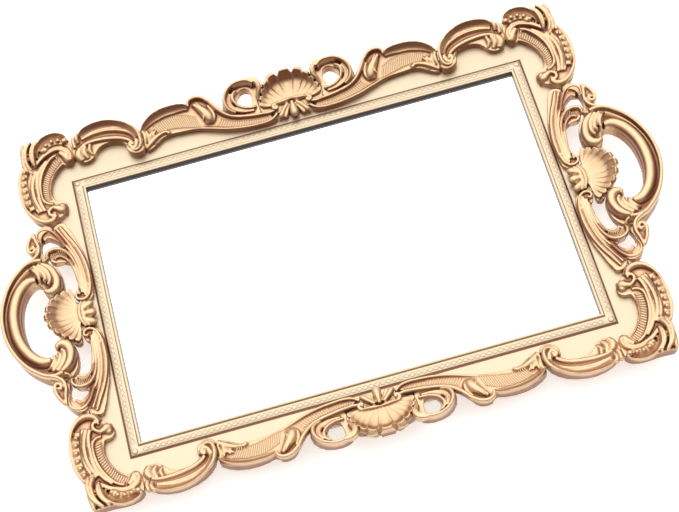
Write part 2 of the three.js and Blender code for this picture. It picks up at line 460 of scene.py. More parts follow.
@dataclass(frozen=True)
class PatinaAndShade:
    """Where the brown patina stays, where shade is painted on walls and where crests take a painted
    highlight: works out the per-vertex attribute of a carved skin.
    """

    level: float = 0.5
    smoothings: tuple[tuple[int, float], ...] = ((12, 1.6), (60, 0.8))  # passes and weight: fine, then broad
    pull: float = 0.6
    # painted shade on walls that face inward, and at the feet of outer walls
    wall: float = 0.27
    wall_from: float = 0.45
    wall_over: float = 0.35
    low_wall: float = 22.5
    low_over: float = 4.0
    low_weight: float = 1.3
    low_facing: float = -0.3
    upright: float = 0.6
    dab: float = 0.8

    def depth(self, mesh: bpy.types.Mesh) -> np.ndarray:
        """Compares smoothings of the surface with the surface itself.

        Args:
            mesh: the carved skin.

        Returns:
            How far each vertex lies below them, in millimetres.
        """
        place, normal = vertex_values(mesh, "co"), vertex_values(mesh, "normal")
        count = len(place)
        edges = np.zeros(len(mesh.edges) * 2, int)
        mesh.edges.foreach_get("vertices", edges)
        a, b = edges[0::2], edges[1::2]
        share = 1.0 / np.maximum(np.bincount(np.r_[a, b], minlength=count), 1)
        smooth, depth = place.copy(), np.zeros(count)
        for passes, weight in self.smoothings:
            for _ in range(passes):
                sums = [np.bincount(a, smooth[b, k], count) + np.bincount(b, smooth[a, k], count)
                        for k in range(3)]
                smooth = (1.0 - self.pull) * smooth + self.pull * np.stack(sums, -1) * share[:, None]
            depth += weight * ((smooth - place) * normal).sum(-1) / MM
        return depth

    def mark(self, obj: bpy.types.Object, relief: float, focus: tuple[float, float] | None) -> None:
        """Writes the attribute: patina in deep places, a painted highlight on crests, and painted shade on
        walls that face inward and at the feet of outer walls.

        Args:
            obj: the carved skin.
            relief: how strongly the depth counts.
            focus: the point that inner walls face, or None for the tray's field.
        """
        # deep places hold patina; crests fall below the level and take a painted highlight
        value = self.level + 0.5 * np.tanh(self.depth(obj.data) * relief)
        place, normal = vertex_values(obj.data, "co") / MM, vertex_values(obj.data, "normal")
        if focus:
            side = place[:, :2] - focus + 1e-6
        else:
            beyond = np.maximum(np.abs(place[:, :2]) - (OPENING.half_x, OPENING.half_y), 0.01)
            side = beyond * np.sign(place[:, :2])
        side /= np.linalg.norm(side, axis=1)[:, None]
        inward = -(normal[:, :2] * side).sum(-1)
        # painted shade on walls that face inward
        walls = np.clip((inward - self.wall_from) / self.wall_over, 0.0, 1.0)
        # painted shade at the feet of outer walls
        low = self.low_weight * np.clip((self.low_wall - place[:, 2]) / self.low_over, 0.0, 1.0)
        low *= np.clip(self.upright - normal[:, 2], 0.0, self.upright) / self.upright
        low *= inward < self.low_facing
        set_recess_and_shade(obj, np.maximum(value, self.level + self.wall * np.maximum(walls, low)).astype(np.float32))

    def glaze_and_shade(self, obj: bpy.types.Object, grooves: list[tuple[list[Point], float, float]]) -> None:
        """Adds the patina that is left in grooves, and painted shade where a groove's spread covers a flank.

        Args:
            obj: the carved skin, already marked.
            grooves: for each, its places, how far it spreads and the value at its middle.
        """
        place = vertex_values(obj.data, "co")[:, :2] / MM
        layer = obj.data.attributes["recess_and_shade"].data
        value = np.zeros(len(place))
        layer.foreach_get("value", value)
        for points, radius, tone in grooves:
            steps = math.ceil(line_length(points) / self.dab)
            away = np.full(len(place), np.inf)
            for i in range(steps + 1):
                away = np.minimum(away, np.linalg.norm(place - along(points, i / steps), axis=1))
            held = np.clip(1.0 - (away / radius) ** 2, 0.0, 1.0)
            value = np.maximum(value, self.level + (tone - self.level) * held)
        layer.foreach_set("value", value.astype(np.float32))


# ------------------------------------------------------------------------------ carving
COVE_SLOPE = (
    (-1.0, -0.7, -0.4, -0.1, 0.2, 0.45, 0.6, 0.68, 0.76, 0.84, 0.93, 1.0),
    (-1.75, -1.66, -1.44, -1.14, -0.76, -0.40, -0.16, -0.05, 0.0, -0.02, -0.12, -0.40),
)


class Section(Enum):
    """Cross-sections of a carved stroke, for a half-width of one."""

    ROUND = "round"
    FLAT = "flat"
    LEAF = "leaf"
    GUTTER = "gutter"
    COVE = "cove"
    WALL = "wall"
    RIB = "rib"

    def height(self, x: float) -> float:
        """Finds the height of the section's top above the stroke's line.

        Args:
            x: from -1 at the left edge to 1 at the right.

        Returns:
            The height.
        """
        arch = math.sqrt(max(0.0, 1.0 - x * x))
        if self in (Section.ROUND, Section.WALL, Section.RIB):
            return 0.95 * arch
        if self is Section.FLAT:
            return 0.45 * arch
        if self is Section.LEAF:
            vein = math.exp(-((x / 0.2) ** 2))
            return 0.75 * arch - 0.36 * vein
        if self is Section.COVE:
            return float(np.interp(x, *COVE_SLOPE))
        brim = 0.88
        edge = max(0.0, (abs(x) - brim) / (1.0 - brim))
        return 0.34 * min(abs(x), brim) ** 3.0 + 0.06 * math.sqrt(max(0.0, 1.0 - edge * edge))

    def outline(self) -> list[tuple[float, float]]:
        """Draws the closed outline.

        Returns:
            Its points, from the right edge over the top and round the base.
        """
        steps = 6 if self is Section.RIB else 24
        top = [math.cos(math.pi * i / steps) for i in range(steps + 1)]
        skirt = {Section.GUTTER: -1.4, Section.RIB: -0.8, Section.WALL: -9.0}.get(self, -3.0)
        return [(x, self.height(x)) for x in top] + [(-0.9, skirt), (0.9, skirt)]


def sweep(runs: list[list[Point]], section: Section, smoothness: int = 7) -> bpy.types.Object:
    """Sweeps a cross-section along curves and converts them to one mesh.

    Args:
        runs: for each curve its places x, y, z and half-widths, in metres.
        section: the cross-section.
        smoothness: segments between two places.

    Returns:
        The closed mesh.
    """
    bpy.ops.curve.primitive_bezier_curve_add(location=(0, 0, 0))
    profile = bpy.context.object
    profile.data.dimensions = "2D"
    profile.data.splines.clear()
    ring = profile.data.splines.new("POLY")
    outline = section.outline()
    ring.points.add(len(outline) - 1)
    for p, (x, y) in zip(ring.points, outline):
        p.co = (x, y, 0, 1)
    ring.use_cyclic_u = True
    bpy.ops.curve.primitive_bezier_curve_add(location=(0, 0, 0))
    path = bpy.context.object
    path.data.splines.clear()
    for run in runs:
        spline = path.data.splines.new("BEZIER")
        spline.bezier_points.add(len(run) - 1)
        spline.resolution_u = smoothness
        spline.radius_interpolation = "CARDINAL"
        for p, (x, y, z, half) in zip(spline.bezier_points, run):
            p.co = (x, y, z)
            p.handle_left_type = p.handle_right_type = "AUTO"
            p.radius = half
    path.data.twist_mode = "Z_UP"
    path.data.bevel_mode = "OBJECT"
    path.data.bevel_object = profile
    path.data.use_fill_caps = True
    activate(path)
    bpy.ops.object.convert(target="MESH")
    tidy_mesh(path, 1e-7)
    bpy.data.objects.remove(profile)
    return path


@dataclass
class Carving:
    """One ornament while it is carved: strokes and beads over a blank, fused into one skin."""

    name: str
    dish: Dish = LOW_DISH
    relief: float = 1.0
    rib_tone: float = 0.66
    focus: tuple[float, float] | None = None
    trim: tuple[int, float] | None = None
    strokes: dict[Section, list[list[Point]]] = field(default_factory=dict)
    ribs: list[tuple[list[Point], float]] = field(default_factory=list)
    grooves: list[tuple[list[Point], float, float]] = field(default_factory=list)
    parts: list[bpy.types.Object] = field(default_factory=list)

    def blank(self, node: str) -> None:
        """Starts from the ornament's plain solid: fits its outline and lowers it to the dish.

        Args:
            node: the plain solid's name.
        """
        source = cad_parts[node]
        blank = source.copy()
        blank.data = source.data.copy()
        blank.parent = None
        for key in list(blank.keys()):
            del blank[key]
        bpy.context.scene.collection.objects.link(blank)
        blank.data.materials.clear()
        tidy_mesh(blank)
        sideways = [Vector((v.normal.x, v.normal.y, 0)) for v in blank.data.vertices]
        for v, away in zip(blank.data.vertices, sideways):
            if away.length > METHOD.wall_share:
                away.normalize()
                facing = max(0.0, away.dot(outwards(v.co)))
                v.co -= away * (METHOD.inset * facing - METHOD.joint * (1.0 - facing)) * MM
        bpy.ops.object.mode_set(mode="EDIT")
        bpy.ops.mesh.select_all(action="SELECT")
        bpy.ops.mesh.subdivide(number_cuts=METHOD.cuts)
        bpy.ops.object.mode_set(mode="OBJECT")
        for v in blank.data.vertices:
            x, y, z = v.co / MM
            v.co.z = min(z, self.dish.level(x, y)) * MM
        if self.trim:
            axis, least = self.trim
            activate(blank)
            bpy.ops.object.mode_set(mode="EDIT")
            bpy.ops.mesh.select_all(action="SELECT")
            bpy.ops.mesh.bisect(plane_co=[least * MM if i == axis else 0.0 for i in range(3)],
                                plane_no=[float(i == axis) for i in range(3)],
                                use_fill=True, clear_inner=True)
            bpy.ops.object.mode_set(mode="OBJECT")
        self.parts.append(blank)

    def stroke(self, section: Section, points: list[Point], lift: float = 0.0) -> None:
        """Adds a stroke.

        Args:
            section: its cross-section.
            points: places along it, each x, y and half-width, or with its own height fourth.
            lift: how far its line stands above the ground where no height is given.
        """
        laid = []
        for x, y, half, *z in points:
            height = z[0] if z else self.dish.level(x, y) + lift
            laid.append((*(Vector((x, y, height)) * MM), half * MM))
        self.strokes.setdefault(section, []).append(laid)

    def run(self, points: list[Point], half: float, lift: float = 0.0) -> None:
        """Adds a round stroke of one half-width, drawn thinner at its two ends.

        Args:
            points: places x, y along it.
            half: its half-width.
            lift: how far its line stands above the ground.
        """
        taper = 0.55
        last = len(points) - 1
        self.stroke(Section.ROUND, [(x, y, half * (taper if i in (0, last) else 1.0))
                                    for i, (x, y) in enumerate(points)], lift)

    def volute(self, x: float, y: float, radius: float, start: float, turns: float, half: float,
               z: float, rise: float) -> None:
        """Adds a spiral that winds in to an eye.

        Args:
            x: the eye's place.
            y: the eye's place.
            radius: of the outermost turn, to the stroke's line.
            start: angle of the outer end, in degrees.
            turns: number of turns, negative to wind clockwise.
            half: half-width of the stroke at its outer end.
            z: height of the outer end.
            rise: how far the eye stands above it.
        """
        steps_a_turn, tightening, thinning = 12, 0.8, 0.45
        steps = round(abs(turns) * steps_a_turn)
        points = []
        for i in range(steps + 1):
            t = i / steps
            r = radius * (1 - t) ** tightening
            a = math.radians(start) + 2 * math.pi * turns * t
            points.append((x + r * math.cos(a), y + r * math.sin(a), half * (1 - thinning * t), z + rise * t))
        self.stroke(Section.ROUND, points)

    def bead(self, x: float, y: float, radius: float, z: float) -> None:
        """Adds a round bead.

        Args:
            x: its middle.
            y: its middle.
            radius: its radius.
            z: height of its middle.
        """
        place = Vector((x, y, z)) * MM
        bpy.ops.mesh.primitive_uv_sphere_add(segments=14, ring_count=8, radius=radius * MM, location=place)
        bead = bpy.context.object
        bpy.ops.object.transform_apply(location=True, rotation=False, scale=False)
        self.parts.append(bead)

    def fan(self, roots: list[Point], tips: list[Point], half: float = 0.4, spread: float = 3.0) -> None:
        """Adds fine transverse ribs from one line to another, evenly spaced along both.

        Args:
            roots: places x, y along the one line.
            tips: places x, y along the other.
            half: half-width of a rib.
            spread: pitch of the ribs in half-widths.
        """
        count = max(2, round(line_length(tips) / (spread * half)))
        for i in range(count + 1):
            self.ribs.append(([along(roots, i / count), along(tips, i / count)], half))

    def flute(self, start: Point, end: Point, half: float, floor: float, crest: float,
              swell: Sequence[tuple[float, float, float]]) -> None:
        """Adds a shell's flute, which widens and turns up towards the rim.

        Args:
            start: its place x, y at the root.
            end: its place x, y at the rim.
            half: its greatest half-width.
            floor: height that it rises from.
            crest: its height at the rim.
            swell: for each step along it: the share of the way, of the width and of the rise.
        """
        self.stroke(Section.GUTTER, [
            (start[0] + t * (end[0] - start[0]), start[1] + t * (end[1] - start[1]),
             half * width, floor + rise * (crest - floor)) for t, width, rise in swell
        ])

    def glaze_and_shade(self, points: list[Point], radius: float, tone: float) -> None:
        """Darkens along a groove, for patina in it and painted shade on the flanks it spreads over: its
        places, how far it spreads and the value at its middle.
        """
        self.grooves.append((points, radius, tone))

    def drape(self, piece: bpy.types.Object, points: list[Point], half: float) -> list[Point]:
        """Lays a rib on the carved skin, in steps of about a millimetre.

        Args:
            piece: the carved skin.
            points: places x, y along the rib.
            half: its half-width.

        Returns:
            Places and half-widths, in metres.
        """
        count = max(3, round(line_length(points) / METHOD.rib_step))
        laid = []
        for i in range(count + 1):
            x, y = along(points, i / count)
            hit, place, _, _ = piece.ray_cast(Vector((x, y, METHOD.above)) * MM, Vector((0, 0, -1)))
            if hit:
                laid.append((place.x, place.y, place.z - METHOD.rib_sink * half * MM, half * MM))
        return laid

    def fuse(self) -> bpy.types.Object:
        """Joins the parts, remeshes them as one closed skin and softens it as a casting is.

        Returns:
            The ornament.
        """
        for section, runs in self.strokes.items():
            self.parts.append(sweep(runs, section))
        activate(self.parts[0], *self.parts[1:])
        bpy.ops.object.join()
        piece = bpy.context.object
        piece.name = piece.data.name = self.name
        apply_modifier(piece, "REMESH", mode="VOXEL", voxel_size=METHOD.voxel * MM)
        half_x, half_y, top = METHOD.reach
        for v in piece.data.vertices:
            low = self.dish.underside(v.co.x / MM, v.co.y / MM)
            for axis, (least, most) in enumerate(((-half_x, half_x), (-half_y, half_y), (low, top))):
                v.co[axis] = min(max(v.co[axis], least * MM), most * MM)
        apply_modifier(piece, "SMOOTH", factor=0.5, iterations=METHOD.softening)
        bpy.ops.object.shade_smooth()
        # patina, painted shade on walls and painted highlight on crests
        patina = PatinaAndShade()
        patina.mark(piece, self.relief, self.focus)
        patina.glaze_and_shade(piece, self.grooves)
        laid = [run for run in (self.drape(piece, *rib) for rib in self.ribs) if len(run) > 2]
        if laid:
            ribs = sweep(laid, Section.RIB, 1)
            bpy.ops.object.shade_smooth()
            self.shade_ribs(piece, ribs, laid)
            activate(piece, ribs)
            bpy.ops.object.join()
        return piece

    def shade_ribs(self, piece: bpy.types.Object, ribs: bpy.types.Object, laid: list[list[Point]]) -> None:
        """Marks the ribs' crests as raised, for a painted highlight, and their feet and the ground between
        them as deep, for patina.

        Args:
            piece: the carved skin.
            ribs: the ribs' mesh.
            laid: places along each rib, in metres.
        """
        places = [place[:3] for run in laid for place in run]
        tree = KDTree(len(places))
        for index, place in enumerate(places):
            tree.insert(place, index)
        tree.balance()
        crests = [v.co.z > tree.find(v.co)[0].z + METHOD.rib_foot * MM for v in ribs.data.vertices]
        set_recess_and_shade(ribs, [METHOD.rib_crest_tone if crest else self.rib_tone for crest in crests])
        for v, cell in zip(piece.data.vertices, piece.data.attributes["recess_and_shade"].data):
            if tree.find(v.co)[2] < METHOD.rib_spread * MM:
                cell.value = max(cell.value, self.rib_tone)


# ------------------------------------------------------------------------------ ornaments
class Quarter(Enum):
    """The four quarters of the tray, with the signs of X and Y in each."""

    BACK_RIGHT = (1, 1)
    BACK_LEFT = (-1, 1)
    FRONT_LEFT = (-1, -1)
    FRONT_RIGHT = (1, -1)


def mirrored(piece: bpy.types.Object, name: str, sx: int, sy: int) -> bpy.types.Object:
    """Copies a piece, mirrored by the given signs.

    Args:
        piece: the piece carved for +X +Y.
        name: the copy's name.
        sx: sign of X.
        sy: sign of Y.

    Returns:
        The copy, with its own mesh.
    """
    copy = piece.copy()
    copy.data = piece.data.copy()
    copy.name = copy.data.name = name
    bpy.context.scene.collection.objects.link(copy)
    copy.data.transform(Matrix.Diagonal((sx, sy, 1, 1)))
    if sx * sy < 0:
        copy.data.flip_normals()
    return copy


def both_ways(half: list[Point]) -> list[Point]:
    """Continues a line that starts on the X axis with its mirror image on the other side."""
    return [(x, -y, *rest) for x, y, *rest in reversed(half[1:])] + half


@dataclass
class Ornament:
    """A cast ornament that repeats in the tray's quarters or on two sides."""

    node: str
    finish: bpy.types.Material
    slot: str = "carved_gilt"
    dish: Dish = LOW_DISH
    relief: float = 1.0
    rib_tone: float = 0.66
    focus: tuple[float, float] | None = None
    trim: tuple[int, float] | None = None
    places: tuple[tuple[str, int, int], ...] = tuple((q.name.lower(), *q.value) for q in Quarter)

    def carve(self, carving: Carving) -> None:
        """Adds this ornament's strokes; each kind has its own.

        Args:
            carving: the carving that takes the strokes.
        """
        raise NotImplementedError

    def build(self) -> list[bpy.types.Object]:
        """Carves the ornament once, copies it to its places and hands the pieces to the frame.

        Returns:
            The pieces.
        """
        home = f"{self.node}_{self.places[0][0]}"
        carving = Carving(f"{self.node}_carved", self.dish, self.relief, self.rib_tone, self.focus,
                          self.trim)
        carving.blank(home)
        self.carve(carving)
        master = carving.fuse()
        master.data.materials.append(self.finish)
        pieces = []
        for where, sx, sy in self.places:
            name = f"{self.node}_{where}_carved"
            if (sx, sy) == (1, 1):
                piece = master
                piece.name = piece.data.name = name
            else:
                piece = mirrored(master, name, sx, sy)
            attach(piece, ROOT)
            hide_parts(f"{self.node}_{where}")
            pieces.append(piece)
            log.info("%s: %d faces", name, len(piece.data.polygons))
        return pieces


class CScroll(Ornament):
    """The C-scroll: a high rim and reeds that wind into a volute, with leaf lobes at its foot."""

    def carve(self, carving: Carving) -> None:
        """Rim, reeds, volute and leaf lobes.

        Args:
            carving: the carving that takes the strokes.
        """
        carving.stroke(Section.COVE, [
            (141.8, 125.6, 1.4, 21.6), (138.4, 128.0, 2.0, 23.0), (134.0, 129.0, 2.5, 23.8),
            (129.0, 129.5, 2.6, 24.2), (123.6, 129.3, 2.7, 24.2), (118.0, 127.8, 2.7, 24.0),
            (112.6, 125.2, 2.6, 23.8), (108.4, 121.8, 2.3, 23.2), (105.6, 118.0, 1.8, 22.2),
            (104.4, 114.2, 1.3, 20.8),
        ])
        carving.stroke(Section.ROUND, [
            (107.2, 123.6, 0.8, 22.6), (104.2, 120.0, 1.1, 22.0), (102.8, 116.2, 1.2, 21.0),
            (102.5, 112.4, 1.2, 19.9), (103.1, 109.0, 1.2, 18.8), (104.8, 106.9, 1.1, 18.0),
            (107.4, 106.7, 1.1, 17.4), (109.6, 108.6, 0.9, 17.0),
        ])
        carving.stroke(Section.LEAF, [
            (140.4, 124.0, 0.9, 19.3), (135.0, 125.6, 1.5, 19.6), (128.4, 126.4, 1.8, 19.6),
            (121.7, 126.0, 1.9, 19.4), (115.4, 124.4, 1.9, 19.0), (110.0, 121.8, 1.8, 18.5),
            (106.8, 118.6, 1.6, 18.0), (105.4, 114.8, 1.4, 17.5), (105.6, 111.5, 1.3, 17.2),
            (107.2, 109.5, 1.2, 17.2), (109.4, 109.7, 1.1, 17.5), (110.4, 111.5, 1.0, 18.0),
            (109.2, 112.9, 0.9, 18.4), (107.8, 112.6, 0.8, 18.4),
        ])
        carving.stroke(Section.ROUND, [
            (142.6, 119.2, 1.0, 17.0), (139.0, 120.6, 1.3, 17.5), (134.0, 121.2, 1.5, 17.8),
            (127.8, 121.0, 1.6, 17.7), (122.0, 120.2, 1.6, 17.5), (116.2, 118.7, 1.5, 17.3),
            (111.6, 116.4, 1.3, 17.2), (109.0, 114.2, 1.1, 17.4),
        ])
        carving.bead(107.4, 110.8, 4.6, 13.6)
        carving.bead(108.1, 111.1, 1.2, 18.0)
        carving.stroke(Section.ROUND, [
            (112.0, 112.6, 0.9, 16.6), (111.6, 109.0, 1.2, 16.4), (109.4, 106.4, 1.5, 16.0),
            (106.2, 105.2, 1.6, 15.8), (103.2, 106.0, 1.5, 15.9), (101.8, 108.4, 1.2, 16.2),
        ])
        for root, belly, tip in (
            ((142.8, 119.0, 1.4, 17.4), (144.6, 114.6, 2.6, 15.8), (143.0, 110.6, 2.3, 14.2)),
            ((139.4, 119.4, 1.2, 17.4), (140.6, 115.0, 1.9, 16.2), (138.8, 111.2, 1.7, 14.4)),
            ((135.8, 119.4, 1.0, 17.4), (136.8, 116.0, 1.3, 16.4), (135.4, 112.8, 1.1, 14.8)),
        ):
            carving.stroke(Section.ROUND, [root, belly, tip])
        carving.stroke(Section.ROUND, [
            (142.4, 128.4, 0.9, 21.6), (143.4, 125.2, 1.4, 20.4), (143.0, 121.8, 1.1, 18.8),
        ])
        carving.stroke(Section.ROUND, [
            (145.8, 127.0, 0.8, 20.4), (146.2, 123.6, 1.3, 18.8), (145.6, 119.8, 1.4, 17.2),
        ])


class RibbedBand(Ornament):
    """The ribbed band between the C-scroll and the side shell, with its clasp and leaves."""

    def carve(self, carving: Carving) -> None:
        """Rim, lower roll, S-rib, clasp, leaves and the fine ribs between.

        Args:
            carving: the carving that takes the strokes.
        """
        carving.stroke(Section.COVE, [
            (66.6, 124.8, 1.4, 22.4), (70.4, 126.2, 2.1, 23.6), (76, 126.7, 2.4, 24.1),
            (84.0, 126.4, 2.5, 24.1), (90.0, 125.0, 2.5, 23.6), (95, 122.8, 2.2, 22.4),
            (99.0, 120.0, 1.7, 20.6), (101.6, 117.0, 1.1, 18.8),
        ][::-1])
        carving.stroke(Section.ROUND, [
            (94.4, 109.0, 0.7, 14.2), (89, 111.6, 0.8, 14.4), (83, 112.9, 0.8, 14.5),
            (75, 112.6, 0.8, 14.7), (65, 111.6, 0.8, 14.7), (55, 108.6, 0.8, 14.7),
            (45, 105.2, 0.8, 14.7), (35, 103.1, 0.8, 14.7), (26, 102.3, 0.9, 14.7),
            (19, 102.3, 0.9, 14.9), (14.4, 103.6, 0.9, 15.2), (11.2, 106.2, 0.9, 15.6),
        ])
        carving.stroke(Section.ROUND, [
            (53.6, 126.4, 1.2, 22.0), (50.8, 122.0, 1.3, 20.6), (47.2, 117.4, 1.4, 18.8),
            (43.0, 113.8, 1.3, 17.4), (38, 111.5, 1.2, 16.6), (32, 110.1, 1.1, 16.2),
            (26, 109.1, 1.1, 16.0), (20, 108.5, 1.0, 15.9), (15.6, 108.2, 1.0, 15.8),
            (12.2, 108.8, 0.9, 15.9),
        ])
        carving.stroke(Section.ROUND, [
            (67.0, 125.0, 0.8, 22.2), (66.4, 128.2, 1.1, 22.8), (63.8, 130.0, 1.2, 23.0),
            (60.4, 130.2, 1.3, 23.0), (57, 128.9, 1.3, 22.8), (53.6, 125.8, 1.2, 21.8),
        ])
        carving.stroke(Section.ROUND, [
            (63.4, 126.8, 1.2, 20.6), (60.4, 123.6, 2.2, 19.8), (57.2, 119.4, 3.1, 18.2),
            (55.4, 115.2, 3.3, 16.4), (56.2, 112.2, 2.3, 15.0),
        ])
        carving.run([(61.4, 126.6), (58.8, 122.4), (58.2, 118), (59.6, 113.8)], 0.7, 3.4)
        carving.run([(54.8, 124), (52.2, 119.4), (51.8, 115.4), (53.6, 111.8)], 1.0, 1.2)
        carving.stroke(Section.ROUND, [
            (100.4, 107.0, 1.3, 14.5), (96.9, 109.4, 1.6, 15.0), (93.6, 111.7, 1.7, 15.6),
            (90, 113.4, 1.5, 16.1), (86.8, 114.2, 1.3, 16.5), (84.2, 114.2, 1.0, 16.6),
        ])
        carving.bead(83.6, 113.2, 1.4, 16.0)
        carving.run([(100.6, 108.6), (99.8, 113), (99.8, 117), (100.4, 119.4)], 1.1, 1.0)
        carving.run([(97.8, 110.2), (97.2, 114.4), (97.8, 118.2)], 1.2, 1.2)
        carving.run([(96.6, 111.4), (95.3, 114.8), (93.8, 117.4)], 0.9, 1.1)
        carving.run([(94.6, 113), (93, 115.6), (91, 117.6)], 0.75, 0.9)
        outer = [(92.6, 120.6), (86, 123.0), (77, 123.6), (70, 122.0), (64.6, 119.2)]
        inner = [(89, 114.6), (84, 115.6), (77, 114.8), (69, 113.0), (62.4, 111.4)]
        carving.fan(inner, outer, 0.44, 3.4)
        carving.fan([(51.6, 109.0), (45, 106.4), (35, 104.4), (25, 103.6), (17, 103.9)],
                    [(47.6, 113.4), (42.2, 110.8), (36, 108.6), (26, 106.9), (16.8, 106.0)], 0.44, 3.4)


class PiercedRing(Ornament):
    """The pierced ring beside the side shell: a thin high wall outside, a lip round the hole."""

    def carve(self, carving: Carving) -> None:
        """Crest, lip round the hole, streaks and the leaf over the shell's edge.

        Args:
            carving: the carving that takes the strokes.
        """
        carving.stroke(Section.WALL, [
            (21.6, 128.0, 1.0, 25.6), (25.0, 130.6, 1.0, 26.0), (30.2, 131.5, 1.0, 26.1),
            (35.4, 130.4, 1.0, 26.0), (39.6, 127.6, 1.0, 25.4), (42.4, 123.6, 1.1, 24.2),
            (43.0, 119.2, 1.2, 22.4), (41.0, 115.2, 1.2, 20.2), (37.4, 113.2, 1.1, 18.2),
        ])
        carving.stroke(Section.LEAF, [
            (38.4, 126.4, 1.4, 21.8), (40.2, 122.4, 1.8, 20.6), (39.6, 118.4, 1.8, 19.0),
            (36.2, 115.4, 1.6, 17.4), (31, 113.8, 1.4, 16.2), (25, 113.2, 1.1, 15.6),
        ])
        carving.stroke(Section.ROUND, [
            (33.6, 127.8, 0.8, 21.6), (35.8, 126.6, 1.0, 21.6), (37.0, 123.2, 1.0, 20.6),
            (36.0, 119.7, 1.0, 19.2), (33.0, 116.8, 1.0, 17.9), (28.4, 115.1, 0.9, 17.2),
            (23.4, 114.8, 0.8, 16.8),
        ])
        carving.stroke(Section.LEAF, [
            (26.4, 131.2, 0.9, 26.3), (22.0, 130.6, 1.6, 25.9), (19.2, 128.2, 1.9, 25.2),
            (18.6, 124.8, 1.8, 23.8), (20.2, 121.2, 1.3, 21.4), (21.2, 117.6, 0.9, 18.8),
        ])


class SideShell(Ornament):
    """The scallop shell in the middle of a long side, over a tassel of petals."""

    def carve(self, carving: Carving) -> None:
        """Flutes that turn up to a scalloped rim, the arch, its volutes and the tassel.

        Args:
            carving: the carving that takes the strokes.
        """
        root, floor, gather, sprout = 111.4, 16.2, 0.14, 0.06
        swell = ((0.0, 0.2, 0.06), (0.22, 0.38, 0.06), (0.45, 0.62, 0.08), (0.65, 0.82, 0.16),
                 (0.8, 0.96, 0.34), (0.91, 0.96, 0.68), (1.0, 0.66, 1.0))
        for tip, half, crest in (
            ((0, 131.2), 4.9, 26.3), ((9.0, 129.8), 3.9, 25.2), ((14.0, 126.6), 2.8, 23.4),
            ((17.4, 122.8), 2.3, 21.6), ((19.6, 118.6), 2.0, 20.0), ((20.6, 114.4), 1.7, 18.6),
        ):
            for side in ((1, -1) if tip[0] else (1,)):
                end = (side * tip[0], tip[1])
                start = (end[0] * gather, root + (end[1] - root) * sprout)
                carving.flute(start, end, half, floor, crest, swell)
        for side in (1, -1):
            carving.run([(0, 113.6), (side * 3.6, 113.3), (side * 7.0, 112.9), (side * 10.6, 112.7)],
                        0.9, 2.9)
            carving.volute(side * 11.0, 110.2, 2.4, 90, -1.15 * side, 0.95, 17.0, 1.0)
            carving.bead(side * 11.0, 110.2, 0.9, 17.8)
            carving.stroke(Section.ROUND, [
                (side * 2.6, 111.0, 1.0, 16.8), (side * 5.0, 108.8, 1.2, 16.4),
                (side * 7.2, 106.4, 1.5, 15.4), (side * 9.2, 104.2, 1.7, 14.4),
                (side * 10.8, 103.8, 1.2, 13.8),
            ])
            carving.stroke(Section.ROUND, [
                (side * 2.0, 110.0, 0.8, 16.0), (side * 3.9, 107.0, 0.9, 15.4),
                (side * 5.5, 104.0, 1.1, 14.4), (side * 6.6, 102.4, 0.9, 13.8),
            ])
        carving.stroke(Section.ROUND, [
            (0, 111.6, 1.1, 17.2), (0, 108.6, 1.5, 17.2), (0, 105.8, 2.3, 16.6),
            (0, 103.0, 2.9, 15.4), (0, 101.2, 2.1, 14.0),
        ])


